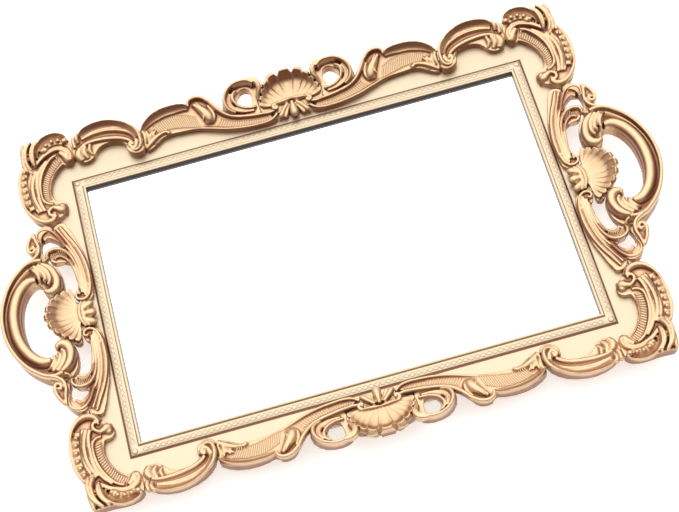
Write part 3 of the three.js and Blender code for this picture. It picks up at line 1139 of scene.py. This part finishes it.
class Corner(Ornament):
    """The corner cartouche: beaded arcs, a ribbed C, reeds and an acanthus wrap."""

    def carve(self, carving: Carving) -> None:
        """Outer rim and beads, bands, ribbed C, reeds, acanthus, bulbs and lips.

        Args:
            carving: the carving that takes the strokes.
        """
        carving.stroke(Section.COVE, [
            (171.4, 118.0, 1.1, 21.2), (171.0, 121.6, 1.4, 22.8), (169.6, 124.8, 1.6, 23.6),
            (167.0, 127.8, 1.8, 24.0), (162.6, 130.0, 1.9, 24.1), (158.0, 130.4, 1.9, 24.1),
            (154.2, 129.6, 1.8, 23.8), (151.2, 127.8, 1.5, 22.6), (149.6, 124.8, 1.1, 20.8),
        ])
        carving.stroke(Section.LEAF, [
            (151.0, 112.6, 2.2, 16.0), (150.9, 117.4, 2.3, 17.6), (153.8, 121.0, 2.0, 18.6),
            (158.2, 122.1, 1.8, 19.1), (163.4, 120.8, 1.6, 19.3), (168.4, 118.2, 1.4, 19.2),
            (172.4, 114.8, 1.2, 18.9), (174.4, 112.4, 0.9, 18.4),
        ])
        carving.stroke(Section.ROUND, [
            (156.6, 119.2, 1.1, 18.6), (153.8, 116.4, 1.8, 17.6), (152.2, 113.6, 2.4, 16.0),
            (151.6, 112.0, 2.1, 14.4),
        ])
        carving.stroke(Section.FLAT, [
            (152.6, 124.8, 2.0, 20.4), (157.4, 126.2, 2.4, 20.8), (162.0, 125.6, 2.4, 20.8),
            (167.4, 121.6, 2.0, 20.6),
        ])
        carving.stroke(Section.FLAT, [
            (179.8, 110.4, 1.8, 21.6), (182.2, 103.0, 2.3, 22.0), (182.8, 95.0, 2.4, 22.0),
            (182.2, 87.0, 2.3, 22.0), (180.0, 79.6, 1.8, 21.4),
        ])
        carving.bead(151.4, 125.4, 2.1, 20.8)
        for x, y in ((155.4, 126.2), (159.6, 126.4), (163.7, 125.0), (166.9, 122.2)):
            carving.bead(x, y, 1.6, carving.dish.level(x, y) + 3.1)
        lip = [(156.2, 112.6), (160.6, 109.4), (164.8, 103.7), (167.2, 97.0), (167.5, 90.6), (166.2, 85.6)]
        carving.stroke(Section.ROUND, [(x, y, 0.75, 14.8) for x, y in lip])
        ridge = [(158.9, 118.4), (162.4, 116.9), (166.4, 112.9), (170.2, 106.6), (172.6, 99.5),
                 (173.4, 92.6), (172.8, 87.2), (170.5, 84.5), (167.2, 83.6)]
        heights = (17.6, 17.8, 18.1, 18.4, 18.4, 18.2, 17.6, 16.8, 16.0)
        carving.stroke(Section.ROUND, [(x, y, 1.0, z) for (x, y), z in zip(ridge, heights)])
        inner = [(157.2, 113.2), (161.2, 109.9), (165.4, 104.1), (167.9, 97.2), (168.2, 90.6), (168, 87.6)]
        outer = [(159.4, 117.2), (162.0, 115.9), (165.6, 112.2), (169.3, 106.1), (171.6, 99.3),
                 (172.3, 92.8), (171.8, 88.6)]
        carving.fan(inner, outer, 0.5, 3.4)
        carving.stroke(Section.ROUND, [
            (166, 116.0, 0.9, 17.8), (171.2, 109.8, 1.2, 18.4), (174.2, 101.8, 1.25, 18.8),
            (175.0, 92.2, 1.25, 18.9), (174.4, 83.6, 1.2, 18.5), (172.8, 78.6, 1.0, 18.2),
        ])
        carving.stroke(Section.ROUND, [
            (173.6, 109.3, 1.0, 18.8), (176.4, 103.0, 1.2, 19.4), (178.0, 94.8, 1.2, 19.8),
            (177.4, 86.2, 1.2, 19.6), (174.8, 78.2, 1.0, 19.0),
        ])
        carving.stroke(Section.ROUND, [
            (177.2, 107.0, 1.0, 19.8), (179.8, 99.0, 1.2, 20.5), (180.4, 91.0, 1.2, 20.6),
            (179.2, 83.6, 1.2, 20.2), (176.8, 77.4, 1.0, 19.5),
        ])
        strip = ((180.6, 108.2), (182.0, 103.4), (182.7, 98.4), (182.8, 93.4), (182.2, 88.4), (181.0, 83.6))
        for x, y in strip:
            carving.bead(x, y, 1.5, 23.3)
        carving.stroke(Section.ROUND, [
            (181.8, 111.8, 0.8, 21.8), (184.9, 104.6, 0.9, 22.2), (186.1, 96.2, 0.9, 22.2),
            (185.8, 88.0, 0.9, 22.2), (184.0, 80.0, 1.0, 22.2), (180.6, 74.2, 1.4, 21.8),
            (177.0, 71.0, 1.8, 20.4), (172.6, 69.9, 2.0, 18.8), (169.0, 71.2, 1.9, 17.6),
            (166.8, 74.4, 1.3, 16.9),
        ])
        carving.stroke(Section.LEAF, [
            (169.6, 129.4, 0.9, 23.4), (172.4, 125.2, 1.6, 23.2), (174.0, 120.4, 2.0, 22.0),
            (174.2, 116.2, 1.7, 20.7), (173.8, 113.2, 1.0, 19.5),
        ])
        carving.stroke(Section.LEAF, [
            (173.2, 130.0, 0.9, 23.4), (177.2, 125.4, 1.7, 23.2), (179.2, 119.2, 2.3, 22.2),
            (179.2, 113.4, 2.6, 20.9), (177.2, 109.8, 2.4, 19.7), (174.8, 108.6, 1.5, 18.6),
        ])
        carving.stroke(Section.ROUND, [
            (179.0, 130.4, 1.0, 21.8), (179.4, 127.2, 1.5, 21.8), (180.2, 122.2, 1.4, 22.2),
            (180.6, 117.0, 1.1, 22.0),
        ])
        carving.stroke(Section.ROUND, [
            (166.4, 81.2, 1.2, 16.2), (168.6, 80.2, 1.2, 17.2), (170.8, 77.6, 1.2, 17.7),
            (170.2, 75.0, 1.1, 17.8), (168.0, 74.6, 1.0, 17.7), (166.8, 76.2, 0.8, 17.5),
        ])
        carving.stroke(Section.ROUND, [
            (168.0, 80.6, 1.2, 16.5), (165.0, 79.8, 2.2, 15.4), (162.4, 78.6, 2.9, 14.2),
            (161.8, 80.8, 2.6, 12.8),
        ])
        carving.bead(162.4, 80.6, 3.2, 13.2)
        carving.stroke(Section.ROUND, [
            (165.6, 73.4, 1.2, 15.6), (168.2, 70.0, 1.4, 15.8), (172.0, 68.6, 1.5, 16.2),
            (176.0, 69.8, 1.2, 17.4),
        ])


class EndReeds(Ornament):
    """The reeded scroll on an end, with two hooks round the piercings and a small volute."""

    def carve(self, carving: Carving) -> None:
        """Reeds, hooks and volute.

        Args:
            carving: the carving that takes the strokes.
        """
        for run in (
            [(166.6, 66.2, 0.9, 15.7), (162.8, 58.0, 1.0, 15.1), (159.0, 50.0, 1.05, 14.7),
             (156.4, 41.9, 1.05, 14.5), (154.8, 32.5, 1.05, 14.5), (154.7, 24.5, 1.05, 14.5),
             (155.6, 17.1, 1.0, 14.7), (157.4, 12.8, 1.0, 15.1), (160.0, 10.8, 1.0, 15.5),
             (162.8, 10.8, 1.0, 15.9), (164.6, 12.4, 1.0, 16.1), (164.6, 14.7, 0.9, 16.4),
             (163.0, 15.3, 0.8, 16.5), (162.0, 14.2, 0.7, 16.4)],
            [(168.6, 64.4, 0.9, 16.8), (164.6, 56.4, 1.0, 15.8), (161.0, 48.1, 1.05, 15.2),
             (158.6, 40.0, 1.05, 14.9), (157.2, 30.6, 1.05, 14.8), (157.1, 22.5, 1.0, 14.8),
             (158.0, 16.4, 0.9, 15.0), (159.6, 13.2, 0.7, 15.3)],
            [(166.0, 53.0, 0.8, 16.6), (161.9, 44.8, 1.0, 15.8), (159.7, 36.6, 1.0, 15.5),
             (158.9, 28.4, 1.0, 15.4), (158.9, 20.6, 0.9, 15.3), (160.0, 15.0, 0.7, 15.4)],
            [(160.9, 15.8, 0.8, 15.4), (160.4, 22.4, 0.9, 15.7), (160.6, 30.2, 1.0, 16.1),
             (161.6, 37.2, 1.0, 16.5), (163.6, 43.0, 1.1, 17.0), (166.8, 47.2, 1.1, 17.8),
             (170.4, 48.9, 1.1, 18.6), (173.8, 48.9, 1.1, 19.4), (176.6, 47.2, 1.1, 20.1),
             (177.4, 44.6, 1.0, 20.5), (176.6, 42.2, 0.9, 20.4)],
            [(161.6, 18.4, 0.7, 15.3), (161.9, 26.8, 0.8, 15.6), (163.1, 34.6, 0.9, 16.1),
             (165.1, 39.9, 0.9, 16.6), (168.0, 43.0, 0.9, 17.2), (171.2, 43.9, 0.9, 17.8),
             (173.4, 42.2, 0.9, 18.2)],
            [(165.4, 50.6, 0.9, 16.8), (167.4, 55.4, 1.0, 17.5), (170.4, 60.6, 1.1, 18.6),
             (173.8, 63.8, 1.2, 19.7), (177.4, 64.1, 1.2, 20.5), (180.4, 62.2, 1.2, 21.1),
             (181.6, 58.7, 1.1, 21.6), (180.6, 54.8, 0.9, 21.6)],
            [(166.2, 50.0, 0.8, 16.3), (168.4, 54.2, 0.9, 16.8), (171.6, 57.6, 0.9, 17.6),
             (175.0, 58.8, 0.9, 18.2), (177.4, 57.0, 0.9, 18.6)],
        ):
            carving.stroke(Section.ROUND, run)
        carving.stroke(Section.FLAT, [
            (165.8, 50.6, 1.2, 15.8), (168.0, 54.8, 1.8, 16.4), (171.2, 58.8, 2.3, 17.4),
            (175.0, 60.8, 2.4, 18.4), (178.4, 58.8, 1.9, 19.0),
        ])
        carving.glaze_and_shade([(166.4, 52.0), (168.6, 56.4), (172.0, 60.6), (176.0, 61.2), (179.0, 58.4)], 2.3, 0.82)
        carving.glaze_and_shade([(162.4, 36.0), (164.8, 42.6), (168.4, 46.4), (172.4, 46.8), (175.4, 44.4)], 1.9, 0.80)
        carving.glaze_and_shade([(155.8, 22.0), (156.2, 32.0), (157.8, 42.0), (161.4, 52.0), (166.0, 61.0)], 1.4, 0.72)
        carving.fan([(165.2, 45.2), (168.2, 47.4), (172.0, 48.0), (175.4, 46.8)],
                    [(166.4, 42.2), (168.8, 43.9), (171.4, 44.6), (173.8, 43.2)], 0.35)


class EarScroll(Ornament):
    """The small volute that stands between the corner and the handle."""

    def carve(self, carving: Carving) -> None:
        """Bar, stem and volute.

        Args:
            carving: the carving that takes the strokes.
        """
        carving.stroke(Section.GUTTER, [
            (171.4, 62.4, 1.8, 18.6), (174.4, 64.2, 2.2, 20.0), (178.2, 62.4, 2.4, 21.0),
            (180.4, 58.6, 2.2, 21.4), (180.2, 54.6, 1.4, 21.4),
        ])
        carving.stroke(Section.ROUND, [
            (182.6, 61.2, 0.9, 23.6), (182.0, 55.4, 1.2, 24.6), (180.8, 50.2, 1.2, 25.2),
            (181.6, 45.8, 1.2, 25.6), (184.6, 42.6, 1.2, 25.8), (188.6, 40.6, 1.1, 25.9),
        ])
        carving.stroke(Section.ROUND, [
            (183.2, 60.4, 1.0, 24.1), (185.4, 57.0, 1.2, 24.9), (187.0, 53.2, 1.3, 25.4),
            (187.5, 49.6, 1.3, 25.8), (186.2, 46.8, 1.2, 25.9), (184.2, 47.0, 1.1, 25.8),
            (183.4, 49.2, 1.0, 25.9), (184.4, 51.4, 0.9, 26.0),
        ])
        carving.bead(185.0, 50.8, 3.2, 22.6)
        carving.stroke(Section.FLAT, [
            (183.2, 59.6, 1.3, 22.8), (183.9, 56.0, 2.0, 23.4), (184.2, 52.6, 2.4, 23.8),
        ])
        carving.bead(185.2, 49.8, 0.9, 25.8)


class EndShell(Ornament):
    """The scallop shell in the middle of an end, with a double roll and petals before it."""

    def carve(self, carving: Carving) -> None:
        """Flutes, roll and petals.

        Args:
            carving: the carving that takes the strokes.
        """
        root, floor, gather = 165.6, 17.0, 0.22
        swell = ((0.0, 0.3, 0.08), (0.35, 0.6, 0.16), (0.65, 0.88, 0.36), (0.85, 1.0, 0.7),
                 (1.0, 0.72, 1.0))
        for tip, half, crest in (
            ((184.5, 0), 2.9, 26.2), ((183.2, 5.8), 2.7, 25.4), ((180.4, 10.8), 2.5, 24.0),
            ((176.8, 14.2), 2.2, 22.4), ((172.8, 16.8), 2.0, 20.8), ((168.9, 18.4), 1.9, 19.2),
        ):
            for side in ((1, -1) if tip[1] else (1,)):
                end = (tip[0], side * tip[1])
                carving.flute((root, end[1] * gather), end, half, floor, crest, swell)
        for x, half, lift in ((162.6, 0.95, 17.0), (164.9, 1.05, 17.6)):
            carving.stroke(Section.ROUND, [
                (x - 2.4, -9.0, half * 0.7, lift - 1), (x - 0.6, -4.6, half, lift), (x, 0, half, lift),
                (x - 0.6, 4.6, half, lift), (x - 2.4, 9.0, half * 0.7, lift - 1),
            ])
        carving.stroke(Section.ROUND, [
            (162.0, 0, 1.6, 16.2), (159.2, 0, 2.5, 15.8), (156.8, 0, 2.8, 14.8), (155.6, 0, 1.9, 13.6),
        ])
        for side in (1, -1):
            carving.stroke(Section.ROUND, [
                (162.0, side * 3.4, 1.5, 16.0), (159.6, side * 5.4, 2.3, 15.6),
                (157.4, side * 6.6, 2.5, 14.6), (156.0, side * 6.4, 1.7, 13.6),
            ])


class Handle(Ornament):
    """A loop handle: a thin rim round a wide roll, held at each root by a curled leaf."""

    def carve(self, carving: Carving) -> None:
        """Rim, roll and the two root leaves.

        Args:
            carving: the carving that takes the strokes.
        """
        rim = [(211.9, 0), (211.0, 9.6), (208.1, 19), (202.9, 28.5), (195.8, 36), (190.4, 39.6),
               (185.0, 40.6), (180.6, 39.8)]
        groove = [(208.6, 0), (207.7, 9.2), (205.0, 18.0), (200.4, 26.0), (194.6, 32.2), (188.6, 35.6)]
        # painted shade on the roll's outer flank, with patina in the groove between rim and roll
        carving.glaze_and_shade(both_ways(groove), 2.9, 0.86)
        roll = [(205.3, 0, 4.1), (204.6, 8.6, 4.1), (202.0, 17.0, 4.0), (197.6, 24.2, 3.8),
                (191.8, 28.4, 3.2), (186.8, 28.8, 2.3)]
        carving.stroke(Section.ROUND, [(x, y, 1.3, 25.7) for x, y in both_ways(rim)])
        carving.stroke(Section.ROUND, [(x, y, half, 22.6) for x, y, half in both_ways(roll)])
        leaf = (
            [(182.2, 38.6, 1.1, 24.2), (177.2, 34.6, 2.2, 23.0), (174.6, 29.2, 2.6, 22.0),
             (174.4, 23.4, 3.0, 21.0), (176.6, 19.6, 3.0, 21.0), (180.4, 18.9, 2.4, 21.4),
             (182.6, 21.0, 1.4, 21.6)],
            [(183.8, 37.9, 1.0, 25.1), (180.0, 33.7, 1.4, 24.7), (178.0, 29.6, 1.5, 24.2),
             (178.0, 25.4, 1.3, 23.8), (179.6, 23.2, 0.9, 23.6)],
            [(186.6, 37.4, 1.0, 25.5), (183.2, 33.9, 1.6, 25.1), (181.0, 30.1, 1.7, 24.7),
             (180.8, 26.8, 1.4, 24.2), (182.2, 26.0, 0.9, 24.0)],
            [(189.4, 36.2, 0.9, 25.8), (186.4, 33.9, 1.3, 25.5), (184.4, 30.3, 1.4, 25.2),
             (184.2, 26.6, 1.0, 24.6)],
            [(176.8, 43.0, 0.9, 21.4), (178.6, 40.6, 1.1, 22.8), (182.4, 40.2, 1.1, 24.4)],
        )
        for side in (1, -1):
            for points in leaf:
                carving.stroke(Section.ROUND, [(x, side * y, half, z) for x, y, half, z in points])


# ------------------------------------------------------------------------------ frame and glass
def mitred_ring(name: str, profile: list[tuple[float, float, float]]) -> bpy.types.Object:
    """Builds a closed moulding round the opening, mitred at its corners.

    Args:
        name: the object's name.
        profile: the closed cross-section: distance out from the opening, height, and the
            recess value there.

    Returns:
        The ring.
    """
    verts = [(sx * (OPENING.half_x + u) * MM, sy * (OPENING.half_y + u) * MM, z * MM)
             for sx, sy in SIGNS for u, z, _ in profile]
    n, corners = len(profile), len(SIGNS)
    faces = []
    for c in range(corners):
        here, there = c * n, (c + 1) % corners * n
        faces += [(here + i, here + (i + 1) % n, there + (i + 1) % n, there + i) for i in range(n)]
    ring = new_piece(name, verts, faces)
    set_recess_and_shade(ring, [recess_and_shade for _ in SIGNS for _, _, recess_and_shade in profile])
    tidy_mesh(ring)
    return ring


@dataclass
class FieldFrame:
    """The plain gilded field between the sight slip and the ornaments, cast in one."""

    finish: bpy.types.Material
    foot: float = 14.0
    underside: float = 1.5
    slope_start: float = 15.0
    slope_low: float = 10.42
    slope_high: float = 11.2
    outer: float = 24.0
    end_cut: float = 161.5
    cut_half: float = 64.0
    cut_height: float = 60.0
    cut_middle: float = 10.0
    tongue: tuple[float, float] = (106.0, 144.0)
    tongue_root: float = 23.2
    tongue_reach: float = 28.4
    tongue_thick: float = 1.0
    tongue_sink: float = 0.012
    tongue_tone: float = 0.34

    def level(self, u: float) -> float:
        """The field's height at a distance out from the opening."""
        share = (u - self.slope_start) / (self.outer - self.slope_start)
        return self.slope_low + (self.slope_high - self.slope_low) * share

    def tongues(self) -> list[bpy.types.Object]:
        """Builds the low tongues that carry the field in under the arches of the C-scrolls.

        Returns:
            The four tongues.
        """
        faces = [(0, 1, 3, 2), (4, 6, 7, 5), (0, 2, 6, 4), (1, 5, 7, 3), (0, 4, 5, 1), (2, 3, 7, 6)]
        made = []
        for sx, sy in ((1, 1), (1, -1), (-1, 1), (-1, -1)):
            verts = [(sx * x * MM, sy * (OPENING.half_y + u) * MM,
                      (self.level(u) - self.tongue_sink - drop) * MM)
                     for drop in (0.0, self.tongue_thick) for x in self.tongue
                     for u in (self.tongue_root, self.tongue_reach)]
            tongue = new_piece("tongue", verts, faces)
            set_recess_and_shade(tongue, [self.tongue_tone] * len(verts))
            tidy_mesh(tongue)
            made.append(tongue)
        return made

    def build(self) -> bpy.types.Object:
        """Builds the field, opens it behind the pierced ends and hands it to the frame.

        Returns:
            The field.
        """
        ring = mitred_ring("field_cast", [
            (3.3, self.underside, 0.4), (self.foot, self.underside, 0.4), (self.outer, 8.4, 0.4),
            (self.outer, self.slope_high, 0.4), (self.slope_start, self.slope_low, 0.34),
            (9.2, 9.96, 0.36), (8.7, 9.9, 0.6), (8.3, 9.66, 0.82), (8.3, 8.4, 0.8), (3.3, 8.4, 0.5),
        ])
        depth = 2 * self.outer
        for side in (1, -1):
            place = (side * (self.end_cut + depth / 2) * MM, 0, self.cut_middle * MM)
            bpy.ops.mesh.primitive_cube_add(size=1, location=place)
            cutter = bpy.context.object
            cutter.scale = (depth * MM, 2 * self.cut_half * MM, self.cut_height * MM)
            bpy.context.view_layer.update()
            apply_modifier(ring, "BOOLEAN", object=cutter, operation="DIFFERENCE", solver="EXACT")
            bpy.data.objects.remove(cutter)
        activate(ring, *self.tongues())
        bpy.ops.object.join()
        ring.data.materials.clear()
        ring.data.materials.append(self.finish)
        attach(ring, ROOT)
        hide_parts("rail_back", "rail_front", "rail_left", "rail_right")
        log.info("field_cast: %d faces", len(ring.data.polygons))
        return ring


@dataclass
class SightSlip:
    """The slip round the mirror: a plain lip, a groove and a band with a low guilloche."""

    finish: bpy.types.Material
    band: float = 4.9
    wave: float = 1.25
    pitch: float = 7.4
    wire: float = 0.3
    wire_height: float = 10.94
    wire_crest: float = 11.05
    stud: float = 1.9
    stud_height: float = 10.9
    stud_crest: float = 11.15
    flatness: float = 0.36
    smooth_angle: float = 50.0

    def chain(self) -> bpy.types.Object:
        """Lays two crossing waves along each side.

        Returns:
            The chain.
        """
        waves = []
        sides = ((OPENING.half_x, OPENING.half_y, False), (OPENING.half_y, OPENING.half_x, True))
        for half, other, swap in sides:
            steps = 4 * round(2 * half / self.pitch)
            for side, phase in ((1, 1), (1, -1), (-1, 1), (-1, -1)):
                points = []
                for i in range(steps + 1):
                    length = -half + 2 * half * i / steps
                    swing = phase * self.wave * math.sin(math.pi * i / 2)
                    across = side * (other + self.band + swing)
                    x, y = (across, length) if swap else (length, across)
                    points.append((x * MM, y * MM, self.wire_height * MM, self.wire * MM))
                waves.append(points)
        chain = sweep(waves, Section.RIB, 3)
        set_recess_and_shade(chain, [0.34 if v.co.z > self.wire_crest * MM else 0.62 for v in chain.data.vertices])
        return chain

    def studs(self) -> list[bpy.types.Object]:
        """Sets a flat stud on each mitre.

        Returns:
            The four studs.
        """
        studs = []
        for sx, sy in SIGNS:
            x, y = sx * (OPENING.half_x + self.band), sy * (OPENING.half_y + self.band)
            bpy.ops.mesh.primitive_uv_sphere_add(segments=20, ring_count=10, radius=self.stud * MM,
                                                 location=Vector((x, y, self.stud_height)) * MM)
            stud = bpy.context.object
            stud.scale.z = self.flatness
            bpy.ops.object.transform_apply(location=True, rotation=True, scale=True)
            set_recess_and_shade(stud, [0.3 if v.co.z > self.stud_crest * MM else 0.8 for v in stud.data.vertices])
            studs.append(stud)
        return studs

    def build(self) -> bpy.types.Object:
        """Builds the moulding with its chain and studs and hands it to the frame.

        Returns:
            The slip.
        """
        ring = mitred_ring("sight_slip_cast", [
            (0.0, 8.7, 2.0), (8.22, 8.7, 0.8), (8.22, 9.62, 0.82), (7.8, 9.9, 0.85),
            (7.35, 10.6, 0.6), (7.0, 10.9, 0.3), (4.8, 10.98, 0.42), (2.9, 11.1, 0.4),
            (2.55, 11.08, 0.5), (2.3, 10.92, 0.72), (2.1, 10.92, 0.72), (1.9, 11.2, 0.55),
            (1.7, 11.75, 0.3), (1.35, 11.97, 0.3), (0.9, 12.0, 0.3), (0.45, 11.9, 0.3),
            (0.14, 11.65, 0.3), (0.02, 11.3, 0.45), (0.0, 11.24, 2.0),
        ])
        chain = self.chain()
        activate(ring, chain, *self.studs())
        bpy.ops.object.join()
        bpy.ops.object.shade_smooth_by_angle(angle=math.radians(self.smooth_angle))
        ring.data.materials.clear()
        ring.data.materials.append(self.finish)
        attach(ring, ROOT)
        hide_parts(*(f"sight_slip_{side}" for side in ("back", "front", "left", "right")))
        log.info("sight_slip_cast: %d faces", len(ring.data.polygons))
        return ring


@dataclass
class FeltSheet:
    """The felt glued under the tray: one cut sheet with rounded corners and a slight nap."""

    finish: bpy.types.Material
    half_x: float = 158.0
    half_y: float = 104.9
    corner: float = 6.0
    thick: float = 1.2
    step: float = 2.0
    nap: float = 0.05
    nap_scale: float = 0.35
    smooth_angle: float = 50.0

    def rounded(self, x: float, y: float) -> tuple[float, float]:
        """Draws a point of the rectangle's corner squares in to the rounded corner.

        Args:
            x: the point's X.
            y: the point's Y.

        Returns:
            The point on the cut sheet.
        """
        dx, dy = abs(x) - (self.half_x - self.corner), abs(y) - (self.half_y - self.corner)
        if dx <= 0 or dy <= 0:
            return x, y
        pull = max(dx, dy) / math.hypot(dx, dy)
        return (math.copysign(self.half_x - self.corner + dx * pull, x),
                math.copysign(self.half_y - self.corner + dy * pull, y))

    def build(self) -> bpy.types.Object:
        """Lays the sheet, cuts its corners, gives it its thickness and hands it over.

        Returns:
            The sheet.
        """
        deselect()
        cells = [round(2 * half / self.step) for half in (self.half_x, self.half_y)]
        bpy.ops.mesh.primitive_grid_add(x_subdivisions=cells[0], y_subdivisions=cells[1], size=2.0,
                                        location=(0, 0, 0))
        sheet = bpy.context.object
        sheet.name = sheet.data.name = "felt_sheet"
        for v in sheet.data.vertices:
            x, y = self.rounded(v.co.x * self.half_x, v.co.y * self.half_y)
            lift = self.nap * (1 + noise.noise(Vector((x, y, 0)) * self.nap_scale)) / 2
            v.co = Vector((x, y, self.thick - self.nap + lift)) * MM
        apply_modifier(sheet, "SOLIDIFY", thickness=(self.thick - self.nap) * MM, offset=-1.0)
        for v in sheet.data.vertices:
            v.co.z = max(v.co.z, 0.0)
        tidy_mesh(sheet)
        bpy.ops.object.shade_smooth_by_angle(angle=math.radians(self.smooth_angle))
        sheet.data.materials.append(self.finish)
        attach(sheet, ROOT)
        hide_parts("felt_base")
        log.info("felt_sheet: %d faces", len(sheet.data.polygons))
        return sheet


def dress(node: str, finish: bpy.types.Material) -> None:
    """Gives a shown CAD node its finish.

    Args:
        node: the node's name.
        finish: the material.
    """
    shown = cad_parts[node]
    shown.data.materials.clear()
    shown.data.materials.append(finish)
    log.info("%s: dressed", node)


# ------------------------------------------------------------------------------ studio
@dataclass(frozen=True)
class Lamp:
    """A soft square lamp that faces the tray."""

    name: str
    energy: float
    size: float
    place: Point
    color: tuple[float, float, float]

    def hang(self) -> None:
        """Hangs the lamp."""
        data = bpy.data.lights.new(self.name, "AREA")
        data.energy, data.size, data.color = self.energy, self.size, self.color
        lamp = bpy.data.objects.new(self.name, data)
        lamp.location = self.place
        lamp.rotation_euler = (-Vector(self.place)).to_track_quat("-Z", "Y").to_euler()
        bpy.context.scene.collection.objects.link(lamp)


@dataclass(frozen=True)
class Studio:
    """The floor, the soft lights and the camera. Lengths here are in metres, angles in degrees."""

    azimuth: float = -3.96
    elevation: float = 62.70
    roll: float = -11.88
    distance: float = 1.06431
    aim: Point = (0.00215, -0.00118, 0.002)
    lens: float = 88.58
    film: float = 36.0
    clip: tuple[float, float] = (0.05, 50.0)
    floor_half: float = 6.0
    floor_color: Color = (0.84, 0.86, 0.88, 1.0)
    floor_roughness: float = 0.9
    floor_glow: float = 0.5
    key: Lamp = Lamp("key", 3.5, 2.0, (-0.15, 1.1, 1.8), (1.0, 0.97, 0.93))
    sky_aim: tuple[float, float, float] = (0.0, 0.45, 0.89)
    sky_rise: tuple[float, float] = (0.20, 0.90)
    sky_light: tuple[float, float] = (0.27, 1.98)
    sky_warmth: tuple[float, float] = (0.10, 0.70)
    sky_warm: Color = (1.0, 0.70, 0.58, 1.0)
    sky_pale: Color = (1.0, 0.985, 0.965, 1.0)

    def camera(self) -> None:
        """Stands the camera in front of and above the tray, a little rolled."""
        a, e, r = (math.radians(v) for v in (self.azimuth, self.elevation, self.roll))
        back = Vector((math.sin(a) * math.cos(e), -math.cos(a) * math.cos(e), math.sin(e)))
        right = (-back).cross(Vector((0, 0, 1))).normalized()
        up = right.cross(-back)
        x_axis = right * math.cos(r) + up * math.sin(r)
        y_axis = -right * math.sin(r) + up * math.cos(r)
        turn = Matrix((x_axis, y_axis, back)).transposed().to_4x4()
        data = bpy.data.cameras.new("camera")
        data.lens, data.sensor_width = self.lens, self.film
        data.clip_start, data.clip_end = self.clip
        camera = bpy.data.objects.new("camera", data)
        camera.matrix_world = Matrix.Translation(Vector(self.aim) + back * self.distance) @ turn
        bpy.context.scene.collection.objects.link(camera)
        bpy.context.scene.camera = camera

    def floor(self) -> None:
        """Lays the pale floor."""
        bpy.ops.mesh.primitive_plane_add(size=2 * self.floor_half, location=(0, 0, 0))
        floor = bpy.context.object
        floor.name = "floor"
        material, recipe, shader = new_material("floor_white")
        recipe.feed(shader, {"Base Color": self.floor_color, "Roughness": self.floor_roughness,
                             "Emission Color": (1.0, 1.0, 1.0, 1.0), "Emission Strength": self.floor_glow})
        floor.data.materials.append(material)

    def light(self) -> None:
        """Lights the tray from above and behind, warmer and dimmer towards the front."""
        scene = bpy.context.scene
        scene.view_settings.view_transform = "Standard"
        scene.world = bpy.data.worlds.new("studio")
        scene.world.use_nodes = True
        sky = Recipe(scene.world.node_tree)
        way = sky.add("TexCoord", {}).outputs["Generated"]
        height = sky.add("VectorMath", {0: way, 1: self.sky_aim}, operation="DOT_PRODUCT").outputs["Value"]
        strength = sky.ranged(height, *self.sky_rise, *self.sky_light, kind="SMOOTHSTEP")
        warmth = sky.mix(sky.ranged(height, *self.sky_warmth), self.sky_warm, self.sky_pale)
        sky.feed(sky.tree.nodes["Background"], {"Strength": strength, "Color": warmth})
        self.key.hang()

    def build(self) -> None:
        """Sets the whole stage."""
        self.camera()
        self.floor()
        self.light()


def main() -> None:
    """Builds the tray's looks in order and reports each piece."""
    logging.basicConfig(level=logging.INFO, format="%(message)s")
    Studio().build()
    # the carving's light colour, CREST, is a painted highlight on its crests
    carved = Gilding("carved_gilding", light=Shade.CREST.value).build()
    smooth = Gilding("field_gilding", body=Shade.PALE.value, roughness=0.38).build()
    FieldFrame(smooth).build()
    SightSlip(smooth).build()
    dress("mirror_plate", Silvering().build())
    FeltSheet(Matt("felt", (0.045, 0.035, 0.03, 1), (0.02, 0.015, 0.012, 1), 900).build()).build()
    dress("backing_board", Matt("board", (0.3, 0.19, 0.1, 1), (0.2, 0.12, 0.06, 1), 300).build())
    dress("foam_tape", Matt("foam", (0.9, 0.9, 0.87, 1), (0.8, 0.8, 0.77, 1), 600).build())
    sides = (("back", 1, 1), ("front", 1, -1))
    ends = (("right", 1, 1), ("left", -1, 1))
    Corner("corner", carved, rib_tone=0.76).build()
    CScroll("c_scroll", carved).build()
    RibbedBand("ribbed_band", carved).build()
    PiercedRing("pierced_ring", carved, dish=HIGH_DISH).build()
    SideShell("shell", carved, dish=SHELL_DISH, relief=0.55, focus=(0, 112.0), trim=(1, 107.6),
              places=sides).build()
    EndReeds("end_reeds", carved).build()
    EarScroll("ear_scroll", carved, dish=EAR_DISH).build()
    EndShell("shell", carved, dish=SHELL_DISH, relief=0.55, focus=(165.6, 0), trim=(0, 161.2),
             places=ends).build()
    Handle("handle", carved, dish=HIGH_DISH, places=ends).build()


if __name__ == "__main__":
    main()
